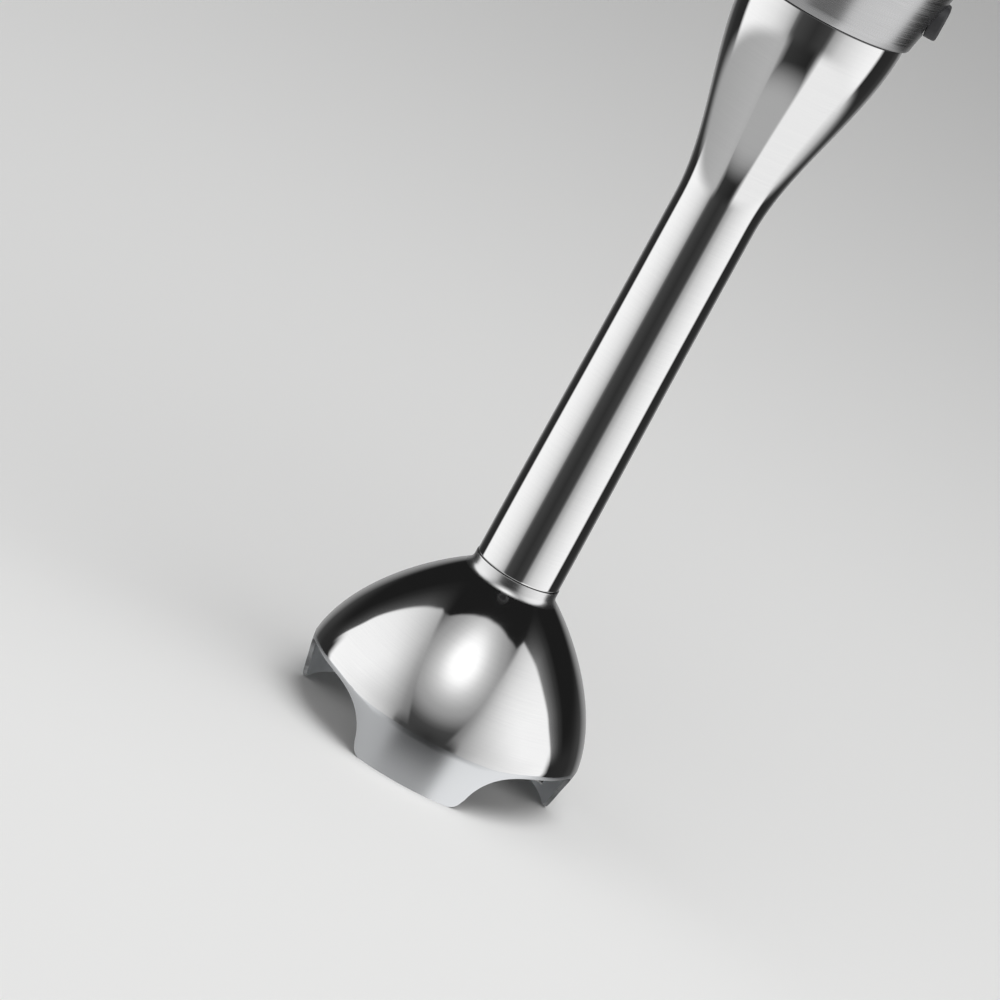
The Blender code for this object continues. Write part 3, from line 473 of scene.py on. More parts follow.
POLISHED = polished_steel()
COLLAR = soft_steel("collar_steel", (0.82, 0.82, 0.823), (0.86, 0.86, 0.857), 0.25, 0.02, 14.0, 60.0)
SATIN = soft_steel("satin_steel", (0.795, 0.81, 0.83), (0.81, 0.825, 0.84), 0.23, 0.01, 9.0)
BLASTED = soft_steel("blasted_steel", (0.80, 0.83, 0.86), (0.84, 0.87, 0.895), 0.5, 0.04, 6.0, metallic=0.2)
relief(BLASTED, grain(BLASTED, 0.3, detail=2.0), 0.002, 0.3)
# Painted shade: a dark grey on the skirt's thin cut rim, where the steel would otherwise reflect the bright
# tent.
EDGE = brushed_steel("rim_painted_shade_steel", (0.27, 0.275, 0.28), 0.34, 5.0, 12.0)
INSIDE = brushed_steel("brushed_inside_steel", (0.66, 0.66, 0.66), 0.24)
SLEEVE_STEEL = brushed_steel("brushed_sleeve_steel", (0.62, 0.62, 0.625), 0.26, 22.0, 130.0)
BLADE_STEEL = brushed_steel("ground_blade_steel", (0.70, 0.70, 0.70), 0.2, 3.0, 8.0)
TURNED_STEEL = brushed_steel("turned_steel", (0.60, 0.60, 0.60), 0.25, 4.0, 20.0)
BRONZE = plain_metal("sintered_bronze", (0.60, 0.42, 0.22), 0.38, 0.8)
BRASS = plain_metal("brass", (0.72, 0.55, 0.27), 0.28)
ALUMINIUM = plain_metal("cast_aluminium", (0.55, 0.55, 0.56), 0.42, 1.2, 0.02)
IRON = layered("iron_laminations", (0.10, 0.10, 0.11), (0.30, 0.30, 0.32), 0.6, 1.0, 0.42)
COPPER_WIRE = layered("copper_wire", (0.28, 0.09, 0.03), (0.72, 0.30, 0.13), 0.7, 1.0, 0.32)
SEGMENTS = layered("commutator_copper", (0.45, 0.20, 0.10), (0.82, 0.42, 0.24), 1.4, 1.0, 0.24)
CARBON = plain_metal("carbon", (0.06, 0.06, 0.065), 0.55, 0.7)
CASING_BLACK = moulded_plastic("casing_black", (0.022, 0.022, 0.024), 0.36)
PANEL_GREY = moulded_plastic("panel_grey", (0.20, 0.205, 0.21), 0.34)
BUTTON_GREY = moulded_plastic("button_grey", (0.36, 0.365, 0.37), 0.42, 0.5)
BUTTON_DARK = moulded_plastic("button_dark", (0.045, 0.045, 0.048), 0.4, 0.5)
NYLON_BLACK = moulded_plastic("nylon_black", (0.035, 0.035, 0.037), 0.48, 0.5, 0.02)
NYLON_GREY = moulded_plastic("nylon_grey", (0.22, 0.22, 0.225), 0.5, 0.5, 0.02)
NYLON_WHITE = moulded_plastic("nylon_white", (0.74, 0.73, 0.70), 0.45, 0.6, 0.02)
RUBBER = moulded_plastic("rubber", (0.028, 0.028, 0.029), 0.68, 0.3, 0.03)
GRIP_RUBBER = moulded_plastic("grip_rubber", (0.04, 0.041, 0.043), 0.6, 0.25, 0.04)
PRINT = moulded_plastic("white_print", (0.82, 0.82, 0.80), 0.5)
BOARD = circuit_board()


# ---------------------------------------------------------------- mixing foot

def smooth_step(t):
    t = min(1.0, max(0.0, t))
    return t * t * (3.0 - 2.0 * t)


def crease_lift(off):
    return CREASE_LIFT * smooth_step((off - TAB_HALF) / 25.0)


def dome_outline():
    """Collar, hollow fillet and dome from the top down to the crease."""
    slope = math.radians(36.7)
    turn = math.pi / 2 - slope
    hub = (COLLAR_R + FILLET_R, FILLET_Z)
    points = [(COLLAR_R - 0.22, COLLAR_TOP), (COLLAR_R - 0.06, COLLAR_TOP - 0.08),
              (COLLAR_R, COLLAR_TOP - 0.26), (COLLAR_R, COLLAR_TOP - 0.45)]
    for k in range(9):
        angle = turn * k / 8
        points.append((hub[0] - FILLET_R * math.cos(angle), hub[1] - FILLET_R * math.sin(angle)))
    # One smooth curve from the end of the fillet to the crease.
    rim = math.radians(7.3)
    start = Vector(points[-1])
    end = Vector((BELL_R, CREASE_Z))
    near = start + 14.0 * Vector((math.cos(slope), -math.sin(slope)))
    far = end + 12.2 * Vector((-math.sin(rim), math.cos(rim)))
    rows = 34
    for k in range(1, rows + 1):
        t = k / rows
        s = 1.0 - t
        points.append(tuple(s**3 * start + 3 * s * s * t * near + 3 * s * t * t * far + t**3 * end))
    return points


def skirt_outline(rows=9):
    """The skirt leans in 5 degrees at the crease and 12 at the feet."""
    top = math.tan(math.radians(5.0))
    foot = math.tan(math.radians(12.0))
    points = []
    for k in range(1, rows + 1):
        down = CREASE_Z * k / rows
        points.append((BELL_R - top * down - (foot - top) * down * down / (2 * CREASE_Z), CREASE_Z - down))
    return points


# Outside of dome, skirt and collar; their inner sides; their cut edges, the skirt's with painted shade.
BELL_FINISHES = (POLISHED, SATIN, COLLAR, INSIDE, BLASTED, INSIDE, INSIDE, EDGE, INSIDE)


def tab_stations():
    """Angle from the middle of a tab and height of the lower edge, to the middle of an opening."""
    per_mm = 180.0 / (math.pi * (BELL_R - 1.5))
    corner = TAB_HALF - TAB_CORNER * per_mm
    stations = [(corner * k / 16, 0.0) for k in range(16)]
    for k in range(9):
        turn = math.radians(10.0 * k)
        stations.append((corner + TAB_CORNER * math.sin(turn) * per_mm,
                         TAB_CORNER * (1.0 - math.cos(turn))))
    start = math.asin(TAB_CORNER / ARCH_Z)
    for k in range(29):
        turn = math.pi / 2 - (math.pi / 2 - start) * (1.0 - k / 28) ** 2
        stations.append((HALF_PITCH - (HALF_PITCH - TAB_HALF) * math.sqrt(max(0.0, math.cos(turn))),
                         ARCH_Z * math.sin(turn)))
    return stations


def angle_off_front(place):
    return abs(math.degrees(math.atan2(place.x, -place.y)))


def bell_sixth():
    """Half a tab and half an opening of the bell, as an open sheet."""
    outline = dome_outline() + skirt_outline()
    stations = tab_stations()
    piece = draw_line("bell_skin", [(0.0, -r, z) for r, z in outline])
    bpy.ops.mesh.select_all(action="SELECT")
    for (before, _), (after, _) in zip(stations, stations[1:]):
        bpy.ops.mesh.spin(steps=1, angle=math.radians(after - before), center=(0.0, 0.0, 0.0),
                          axis=(0.0, 0.0, 1.0))
    coat(piece, *BELL_FINISHES)
    for slot, low, high in ((1, 0.0, CREASE_Z - 0.1), (2, FILLET_Z - FILLET_R + 0.4, COLLAR_TOP)):
        pick("FACE", lambda f, middle: low < middle.z < high)
        piece.active_material_index = slot
        bpy.ops.object.material_slot_assign()
    for off, low in stations:
        pick("VERT", lambda v, middle: middle.z < CREASE_Z + 0.001
             and abs(angle_off_front(middle) - off) < 0.02)
        bm = bmesh.from_edit_mesh(piece.data)
        crease = max((v.co for v in bm.verts if v.select), key=lambda co: co.z).copy()
        share = (CREASE_Z + crease_lift(off) - low) / CREASE_Z
        bpy.ops.transform.resize(value=(share, share, share), center_override=crease)
    pick("VERT", lambda v, middle: abs(middle.z - CREASE_Z) < 0.02
         and math.hypot(middle.x, middle.y) > BELL_R - 0.1 and angle_off_front(middle) > 49.9)
    bpy.ops.transform.translate(value=(0.0, 0.0, CREASE_LIFT * MM), use_proportional_edit=True,
                                proportional_edit_falloff="SMOOTH",
                                proportional_size=math.radians(25.0) * BELL_R * MM)
    bpy.ops.transform.resize(value=(0.9945, 0.9945, 1.0), center_override=(0.0, 0.0, 0.0),
                             use_proportional_edit=True, proportional_edit_falloff="SMOOTH",
                             proportional_size=math.radians(25.0) * BELL_R * MM)
    nothing_selected()
    return piece


def make_bell():
    piece = bell_sixth()
    modify(piece, "MIRROR", use_axis=(True, False, False), use_mirror_merge=True,
           merge_threshold=0.002 * MM)
    open_mesh(piece)
    bpy.ops.mesh.select_all(action="SELECT")
    for _ in range(2):
        bpy.ops.mesh.duplicate()
        bpy.ops.transform.rotate(value=math.radians(120.0), orient_axis="Z",
                                 center_override=(0.0, 0.0, 0.0))
    tidy_skin()
    bm = bmesh.from_edit_mesh(piece.data)
    highest = max(bm.faces, key=lambda f: f.calc_center_median().z)
    if highest.normal.xy.dot(highest.calc_center_median().xy) < 0:
        bpy.ops.mesh.flip_normals()
    nothing_selected()
    modify(piece, "SOLIDIFY", thickness=BELL_WALL * MM, offset=-1.0, use_even_offset=True,
           use_quality_normals=True, material_offset=3, material_offset_rim=6)
    soften(piece, 0.14, 2, 50.0)
    return fit(piece, FOOT, "bell", *BELL_FINISHES, smooth=14.0)


def tube_outer(z):
    if z <= WAIST_Z:
        return TUBE_R + (WAIST_R - TUBE_R) * smooth_step((z - 51.0) / (WAIST_Z - 51.0))
    return WAIST_R + (FLARE_R - WAIST_R) * smooth_step((z - FLARE_Z) / (JOINT_Z - FLARE_Z))


def make_foot_tube():
    rows = [51.3, 51.5, 52.0] + [60.0 + 10.0 * k for k in range(9)] + [FLARE_Z + 2.0 * k for k in range(28)]
    outline = [(TUBE_R - 0.2, TUBE_LOW), (TUBE_R - 0.05, TUBE_LOW + 0.08)]
    outline += [(tube_outer(z), z) for z in rows]
    mouth = tube_outer(TUBE_TOP)
    outline += [(mouth - 0.05, TUBE_TOP - 0.2), (mouth - 0.25, TUBE_TOP), (mouth - 0.8, TUBE_TOP)]
    outline += [(tube_outer(z) - 0.8, z) for z in reversed(rows[12:])]
    outline += [(10.15, TUBE_LOW), (TUBE_R - 0.2, TUBE_LOW)]
    piece = turned("foot_tube", outline, 160)
    return fit(piece, FOOT, "foot_tube", POLISHED, smooth=30.0)


def make_bearing_parts():
    hub = [(7.0, 18.0, 0.15), (9.0, 18.0, 0.8), (9.0, 43.0, 0.5), (9.85, 45.0, 0.5), (9.85, 60.0, 0.6),
           (SHAFT_BORE, 60.0), (SHAFT_BORE, 34.3), (5.3, 34.3), (5.3, 24.0), (7.0, 24.0), (7.0, 18.0)]
    fit(turned("hub", hub), FOOT, "bearing_hub", INSIDE)
    cover = [(SHAFT_BORE, 18.2), (3.4, 18.2, 0.2), (3.8, 18.5, 0.2), (5.6, 18.5, 0.2), (6.0, 18.2, 0.2),
             (6.7, 18.2, 0.15), (6.7, 19.5), (SHAFT_BORE, 19.5), (SHAFT_BORE, 18.2)]
    fit(turned("cover", cover), FOOT, "seal_cover", TURNED_STEEL)
    lip = [(SHAFT_BORE, 19.8), (6.7, 19.8, 0.2), (6.7, 23.7, 0.2), (4.4, 23.7), (4.0, 21.4), (SHAFT_BORE, 21.4),
           (SHAFT_BORE, 19.8)]
    fit(turned("lip", lip, 64), FOOT, "shaft_seal", RUBBER)


def make_foot_collar():
    groove = PLUG_R - 1.6
    outline = [(SHAFT_BORE, 195.0), (tube_outer(195.0) - 1.1, 195.0, 0.4)]
    outline += [(tube_outer(z) - 1.1, z) for z in (197.0, 199.0, 201.0, 203.0, 205.7)]
    outline += [(PLUG_R, 206.0), (PLUG_R, 213.8, 0.3), (groove, 213.8, 0.2), (groove, 217.4, 0.2),
                (PLUG_R, 217.4, 0.3), (PLUG_R, 219.6, 0.25), (PLUG_R - 1.8, 219.9, 0.3),
                (PLUG_R - 1.8, 222.7, 0.3), (PLUG_R, 223.0, 0.25), (PLUG_R, 226.0, 0.9),
                (13.6, 226.0, 0.3), (13.2, 224.8, 0.3), (9.6, 224.8, 0.3), (9.2, 226.0, 0.3),
                (7.62, 226.0, 0.3), (7.62, 212.0), (SHAFT_BORE, 212.0), (SHAFT_BORE, 195.0)]
    fit(turned("collar", outline, 128), FOOT, "foot_collar", NYLON_BLACK)
    turns = [math.pi * k / 8 for k in range(17)]
    ring = [(PLUG_R - 0.65 + 0.85 * math.cos(a), 221.3 + 0.85 * math.sin(a)) for a in turns]
    fit(turned("seal_ring", ring, 128), FOOT, "collar_o_ring", RUBBER)


# ---------------------------------------------------------------- blade shaft

def make_shaft():
    outline = [(0.0, 5.4), (2.5, 5.4, 0.4), (2.5, 10.5), (3.6, 10.5, 0.3), (3.6, 13.7, 0.5), (2.5, 13.9),
               (2.5, 217.0, 0.4), (0.0, 217.0)]
    fit(turned("shaft", outline, 64), BLADES, "drive_shaft", TURNED_STEEL)


def grow_wing(piece, way, bend):
    """Pull one wing of the blade out of a side of its hub in four steps."""
    side = Vector((-way.y, way.x, 0.0))
    pick("FACE", lambda f, middle: f.normal.dot(way) > 0.99 and middle.dot(way) < 7.0)
    reach, half, rise, thick = 6.0, 2.485, 0.0, 1.2
    for new_reach, new_half, new_rise, new_thick in ((9.2, 3.5, 0.0, 1.2), (13.0, 4.1, 0.04, 1.15),
                                                     (18.0, 3.6, 0.5, 0.95), (22.3, 1.9, 1.0, 0.5)):
        step = way * (new_reach - reach) + Vector((0.0, 0.0, bend * (new_rise - rise)))
        bpy.ops.mesh.extrude_region_move(TRANSFORM_OT_translate={"value": step * MM})
        middle = way * new_reach + Vector((0.0, 0.0, 9.6 + bend * new_rise))
        wide = new_half / half
        flat = new_thick / thick
        size = [1.0 + (wide - 1.0) * abs(side.x), 1.0 + (wide - 1.0) * abs(side.y), flat]
        bpy.ops.transform.resize(value=size, center_override=middle * MM)
        reach, half, rise, thick = new_reach, new_half, new_rise, new_thick
    pick("EDGE", lambda e, middle: middle.dot(way) > 7.5 and middle.dot(side) > 1.2 and
         abs((e.verts[1].co - e.verts[0].co).normalized().dot(way)) > 0.6 and
         middle.z > 9.6 + bend * smooth_step((middle.dot(way) - 12.0) / 10.0) * 0.9)
    bpy.ops.mesh.bevel(offset=1.1 * MM, segments=1, affect="EDGES")


def make_blade():
    hub = 6.0 / math.cos(math.pi / 8)
    bore = SHAFT_BORE / math.cos(math.pi / 8)
    turn = math.radians(22.5)
    corners = [(bore, 9.0), (hub, 9.0), (hub, 10.2), (bore, 10.2), (bore, 9.0)]
    piece = draw_line("blade", [(r * math.cos(turn), r * math.sin(turn), z) for r, z in corners])
    bpy.ops.mesh.select_all(action="SELECT")
    bpy.ops.mesh.spin(steps=8, angle=2 * math.pi, center=(0.0, 0.0, 0.0), axis=(0.0, 0.0, 1.0))
    tidy_skin()
    for turn, bend in ((0.0, 0.6), (90.0, 5.0), (180.0, 0.6), (270.0, 5.0)):
        angle = math.radians(turn)
        grow_wing(piece, Vector((math.cos(angle), math.sin(angle), 0.0)), bend)
    tidy_skin()
    nothing_selected()
    soften(piece, 0.12, 2, 30.0)
    fit(piece, BLADES, "blade", BLADE_STEEL, smooth=30.0)


def hex_bar(name, flats, low, high):
    return rod(name, flats / math.sqrt(3.0), low, high, sides=6)


def make_couplings():
    nut = hex_bar("nut", 8.0, 5.7, 8.7)
    dome = turned("dome", [(0.0, 5.7), (3.9, 5.7), (4.75, 6.2), (4.75, 8.7, 0.3), (0.0, 8.7)], 64)
    cut(nut, dome, "INTERSECT")
    cut(nut, rod("bore", SHAFT_BORE, 4.0, 10.0, sides=64))
    fit(nut, BLADES, "blade_nut", TURNED_STEEL, smooth=25.0)

    cup = turned("cup", [(SHAFT_BORE, 212.3), (7.02, 212.3, 0.4), (7.02, 217.0, 0.2), (6.7, 217.4, 0.2),
                         (6.7, 219.6, 0.2), (7.02, 220.0, 0.2), (7.02, 229.0, 0.6), (0.0, 229.0),
                         (0.0, 217.3), (SHAFT_BORE, 217.3), (SHAFT_BORE, 212.3)], 96)
    socket = hex_bar("socket", 8.6, 219.3, 230.0)
    cut(cup, socket)
    soften(cup, 0.25, 3, 60.0)
    fit(cup, BLADES, "driven_coupling", NYLON_BLACK, smooth=30.0)

    pin = hex_bar("pin", 8.0, 220.0, 229.8)
    lead = turned("lead", [(0.0, 220.0), (4.05, 220.0), (4.7, 220.9), (4.7, 229.9), (0.0, 229.9)], 64)
    cut(pin, lead, "INTERSECT")
    cut(pin, turned("shoulder", [(0.0, 229.4), (5.2, 229.4, 0.2), (6.02, 230.0, 0.2), (6.02, 233.2, 0.5),
                                 (0.0, 233.2)], 96), "UNION")
    cut(pin, rod("bore", MOTOR_BORE, 226.0, 236.0, sides=64))
    fit(pin, ROTOR, "drive_coupling", NYLON_BLACK, smooth=25.0)


# ---------------------------------------------------------------- motor unit

def casing_outer(z):
    """Outer radius of the motor unit at a height, a smooth curve through its stations."""
    z = max(z, CASING[0][0])
    for k in range(len(CASING) - 1):
        (z0, r0), (z1, r1) = CASING[k], CASING[k + 1]
        if z <= z1:
            before = CASING[max(k - 1, 0)]
            after = CASING[min(k + 2, len(CASING) - 1)]
            m0 = (r1 - before[1]) / (z1 - before[0]) * (z1 - z0)
            m1 = (after[1] - r0) / (after[0] - z0) * (z1 - z0)
            t = (z - z0) / (z1 - z0)
            return (r0 * (2 * t**3 - 3 * t**2 + 1) + m0 * (t**3 - 2 * t**2 + t)
                    + r1 * (3 * t**2 - 2 * t**3) + m1 * (t**3 - t**2))
    return CASING[-1][1]


def casing_inner(z):
    return casing_outer(z) - CASING_WALL


def make_sleeve():
    rows = [JOINT_Z + 0.35 + 43.35 * k / 22 for k in range(23)]
    outline = [(casing_outer(JOINT_Z) - 0.32, JOINT_Z), (casing_outer(JOINT_Z) - 0.08, JOINT_Z + 0.1)]
    outline += [(casing_outer(z), z) for z in rows]
    outline += [(casing_outer(SLEEVE_TOP) - 0.1, 249.93), (casing_outer(SLEEVE_TOP) - 0.3, SLEEVE_TOP)]
    outline += [(casing_inner(z), z) for z in (250.0, 244.0, 238.0, 233.0, 228.8, 224.0, 219.8, 213.8)]
    outline += [(17.6, 213.8, 0.3), (17.6, JOINT_Z, 0.3), (casing_outer(JOINT_Z) - 0.32, JOINT_Z)]
    piece = turned("sleeve", outline, 160)
    for side in (-1, 1):
        ends = sorted((side * 20.5, side * 45.0))
        pocket = block("pocket", (ends[0], -5.8, RELEASE_Z - 4.6), (ends[1], 5.8, RELEASE_Z + 4.6))
        round_long_edges(0, 3.3)
        cut(piece, pocket)
    fit(piece, UNIT, "lower_sleeve", SLEEVE_STEEL, smooth=30.0)


def rounded_slab(name, half, low, high, near, far, corner):
    """A slab seen from the front or back as a rounded rectangle, between two Y places."""
    slab = block(name, (-half, near, low), (half, far, high))
    round_long_edges(1, corner, 14)
    return slab


def casing_half(name, side):
    """Front (-1) or rear (+1) half of the casing, split on the middle plane."""
    rows = [SHELL_LOW + 0.3 + (SHELL_TOP - SHELL_LOW - 0.6) * k / 44 for k in range(45)]
    outline = [(casing_outer(SHELL_LOW) - 0.3, SHELL_LOW), (casing_outer(SHELL_LOW) - 0.09, SHELL_LOW + 0.09)]
    outline += [(casing_outer(z), z) for z in rows]
    outline += [(casing_outer(SHELL_TOP) - 0.09, SHELL_TOP - 0.09), (casing_outer(SHELL_TOP) - 0.3, SHELL_TOP)]
    outline += [(casing_inner(z), z) for z in [SHELL_TOP] + list(reversed(rows[2:-2:4])) + [SHELL_LOW]]
    outline.append(outline[0])
    piece = turned(name, outline, 180)
    open_mesh(piece)
    bpy.ops.mesh.select_all(action="SELECT")
    bpy.ops.mesh.bisect(plane_co=(0.0, side * 0.15 * MM, 0.0), plane_no=(0.0, side, 0.0), use_fill=True,
                        clear_inner=True)
    tidy_skin()
    nothing_selected()
    return piece


def grip_ring(name, inset, proud, margin):
    """Band of the casing surface, cut to the rounded outline of the rear grip."""
    rows = [262.0 + 94.0 * k / 40 for k in range(41)]
    outline = [(casing_outer(z) + proud, z) for z in rows]
    outline += [(casing_outer(z) - inset, z) for z in reversed(rows)]
    outline.append(outline[0])
    piece = turned(name, outline, 180)
    slab = rounded_slab("outline", 20.6 + margin, 266.0 - margin, 352.0 + margin, 5.0, 45.0, 10.0 + margin)
    cut(piece, slab, "INTERSECT")
    return piece


def make_casing():
    front = casing_half("front", -1)
    cut(front, rounded_slab("opening", 9.3, 339.7, 376.3, -45.0, -10.0, 9.2))
    fit(front, UNIT, "front_shell", CASING_BLACK, smooth=32.0)

    rear = casing_half("rear", 1)
    cut(rear, grip_ring("recess", 1.3, 3.0, 0.3))
    for row in range(4):
        low = 361.0 + 4.6 * row
        cut(rear, rounded_slab("vent", 13.0, low, low + 1.8, 12.0, 50.0, 0.88))
    fit(rear, UNIT, "rear_shell", CASING_BLACK, smooth=32.0)

    grip = grip_ring("grip", 1.0, 0.5, 0.0)
    grooves = []
    for row in range(12):
        z = 275.0 + 6.2 * row
        out = casing_outer(z) + 0.5
        grooves.append(turned("groove", [(out - 0.55, z), (out + 1.0, z - 1.5), (out + 1.0, z + 1.5),
                                         (out - 0.55, z)], 180))
    cut(grip, join(grooves[0], grooves[1:]))
    soften(grip, 0.2, 2, 35.0)
    fit(grip, UNIT, "rear_grip", GRIP_RUBBER, smooth=30.0)


def make_controls():
    panel = rounded_slab("panel", 9.0, 340.0, 376.0, -30.5, -24.0, 8.9)
    pick("EDGE", lambda e, middle: all(v.co.y < -30.4 * MM for v in e.verts))
    bpy.ops.mesh.bevel(offset=0.8 * MM, segments=4, affect="EDGES")
    nothing_selected()
    for _, z in BUTTON_PLACES:
        cut(panel, turned("hole", [(0.0, -34.0), (9.3, -34.0), (6.3, -30.0), (6.3, -20.0), (0.0, -20.0)], 96,
                          (0.0, z), "Y"))
    fit(panel, UNIT, "button_panel", PANEL_GREY, smooth=30.0)

    for (name, z), finish in zip(BUTTON_PLACES, (BUTTON_GREY, BUTTON_DARK)):
        outline = [(0.0, -24.0), (3.0, -24.0), (3.0, -25.2), (6.0, -25.2, 0.2), (6.0, -32.4, 0.9),
                   (4.7, -32.38), (3.6, -32.2), (2.4, -32.02), (1.2, -31.93), (0.0, -31.9)]
        button = turned(name, outline, 96, (0.0, z), "Y")
        marks = (0.0,) if name == "on_button" else (-1.3, 1.3)
        for off in marks:
            dot = turned("dot", [(0.0, -31.5), (0.7, -31.5), (0.7, -32.2, 0.25), (0.0, -32.2)], 32,
                         (0.0, z + off), "Y")
            cut(button, dot, "UNION")
        fit(button, name, name, finish, smooth=30.0)


def make_release_button(side):
    """Finger pad with three grip lines, on a flat plunger."""
    word = "right" if side > 0 else "left"
    ends = sorted((side * 22.6, side * 25.6))
    pad = block("pad", (ends[0], -5.5, RELEASE_Z - 4.3), (ends[1], 5.5, RELEASE_Z + 4.3))
    round_long_edges(0, 3.0)
    pick("EDGE", lambda e, middle: all(side * v.co.x > 25.5 * MM for v in e.verts))
    bpy.ops.mesh.bevel(offset=0.7 * MM, segments=4, affect="EDGES")
    pick("FACE", lambda f, middle: side * middle.x < 22.7)
    bpy.ops.mesh.inset(thickness=2.5 * MM)
    bpy.ops.transform.resize(value=(1.0, 1.0, 0.667))
    bpy.ops.mesh.extrude_region_move(TRANSFORM_OT_translate={"value": (-side * 1.9 * MM, 0.0, 0.0)})
    tidy_skin()
    nothing_selected()
    for off in (-2.2, 0.0, 2.2):
        places = sorted((side * 25.1, side * 27.0))
        line = block("line", (places[0], off - 0.4, RELEASE_Z - 2.6), (places[1], off + 0.4, RELEASE_Z + 2.6))
        round_long_edges(0, 0.38, 5)
        cut(pad, line)
    fit(pad, "release_button_" + word, "release_button_" + word, BUTTON_DARK, smooth=30.0)


def on_cap(degrees, radius, z):
    """A place on the lid; 0 degrees is the front and the angle grows clockwise seen from above."""
    angle = math.radians(degrees)
    return Vector((-radius * math.sin(angle), -radius * math.cos(angle), z)) * MM


def make_number(text, degrees):
    nothing_selected()
    bpy.ops.object.text_add(location=on_cap(degrees, NUMBER_RING_R, LID_FACE - 0.02),
                            rotation=(0.0, 0.0, -math.radians(degrees)))
    number = bpy.context.object
    number.data.body = text
    number.data.size = 3.6 * MM
    number.data.align_x = "CENTER"
    number.data.align_y = "CENTER"
    number.data.extrude = 0.06 * MM
    number.data.resolution_u = 6
    bpy.ops.object.convert(target="MESH")
    bpy.ops.object.transform_apply(location=True, rotation=True, scale=True)
    coat(number, PRINT)
    return number


def make_tick(degrees, low, high):
    tick = block("tick", (-0.25, low, LID_FACE - 0.1), (0.25, high, LID_FACE + 0.06))
    nothing_selected()
    tick.rotation_euler = (0.0, 0.0, -math.radians(degrees) + math.pi)
    fix_place(tick)
    coat(tick, PRINT)
    return tick


def make_lid():
    outline = [(4.0, 383.2), (7.0, 383.2, 0.3), (8.0, 387.2, 0.3), (25.0, 387.2, 0.3), (25.6, 383.6, 0.2),
               (28.2, 383.6, 0.3), (28.2, 388.5, 1.4), (27.0, 390.8, 1.2), (24.2, LID_FACE, 1.2),
               (14.0, LID_FACE, 0.4), (13.6, 391.0, 0.2), (4.0, 391.0), (4.0, 383.2)]
    lid = turned("lid", outline, 160)
    cut(lid, rod("hole", 4.8, 370.0, 400.0, (0.0, GROMMET_Y), 64))
    coat(lid, PANEL_GREY)
    marks = []
    for k in range(9):
        degrees = FIRST_NUMBER + NUMBER_STEP * k
        marks.append(make_number(str(k + 1), degrees))
        marks.append(make_tick(degrees, 14.8, 16.8))
        if k < 8:
            marks.append(make_tick(degrees + NUMBER_STEP / 2, 15.2, 16.2))
    join(lid, marks)
    fit(lid, UNIT, "top_cap", PANEL_GREY, PRINT, smooth=30.0)


def make_dial():
    outline = [(0.0, 396.0), (3.0, 396.0), (3.0, 391.3), (13.0, 391.3, 0.3), (13.0, 397.4, 1.0),
               (11.6, 399.6, 1.0), (9.9, 399.85, 0.3), (8.8, 399.4, 0.6), (0.0, 399.3)]
    dial = turned("dial", outline, 144)
    flutes = []
    for k in range(30):
        angle = 2 * math.pi * (k + 0.5) / 30
        flutes.append(rod("flute", 0.9, 392.6, 402.0, (13.35 * math.cos(angle), 13.35 * math.sin(angle)), 14))
    cut(dial, join(flutes[0], flutes[1:]))
    coat(dial, BUTTON_DARK)
    pointer = block("pointer", (-0.5, 6.4, 399.0), (0.5, 11.2, 399.98))
    bpy.ops.mesh.select_all(action="SELECT")
    bpy.ops.mesh.bevel(offset=0.15 * MM, segments=2, affect="EDGES")
    nothing_selected()
    pointer.rotation_euler = (0.0, 0.0, -math.radians(45.0))
    fix_place(pointer)
    coat(pointer, PRINT)
    join(dial, [pointer])
    fit(dial, "speed_dial", "speed_dial", BUTTON_DARK, PRINT, smooth=30.0)


def make_grommet():
    outline = [(3.3, 380.0), (5.4, 380.0, 0.4), (5.4, 386.9, 0.2), (4.5, 386.9), (4.5, 388.2)]
    for k in range(5):
        z = 388.6 + 1.55 * k
        outline += [(3.95, z, 0.1), (3.95, z + 0.55, 0.1), (4.5, z + 0.75, 0.12), (4.5, z + 1.35, 0.12)]
    outline += [(4.5, 397.0, 0.4), (3.3, 397.0, 0.2), (3.3, 380.0)]
    fit(turned("grommet", outline, 72, (0.0, GROMMET_Y)), UNIT, "cord_grommet", RUBBER)


def make_socket():
    outline = [(17.7, 217.4, 0.5), (19.7, 217.4, 0.3), (19.7, 234.0), (casing_inner(234.0) - 0.3, 234.0, 0.2),
               (casing_inner(237.0) - 0.3, 237.0, 0.2), (4.0, 237.0), (4.0, 234.0, 0.3), (9.6, 234.0, 0.2),
               (9.8, 234.4), (15.4, 234.4), (15.6, 234.0, 0.2), (17.7, 234.0, 0.3), (17.7, 217.4)]
    socket = turned("socket", outline, 128)
    for side in (-1, 1):
        cut(socket, rod("screw_bore", 1.5, 226.0, 251.0, (0.0, side * SCREW_R), 32))
    fit(socket, UNIT, "socket_frame", NYLON_GREY)
    latch = [(15.9, 214.1, 0.4), (20.4, 214.1, 0.3), (20.4, 217.1, 0.3), (15.9, 217.1, 0.4), (15.9, 214.1)]
    fit(turned("latch", latch, 128), UNIT, "latch_ring", TURNED_STEEL)


# ---------------------------------------------------------------- pieces kept from the frame

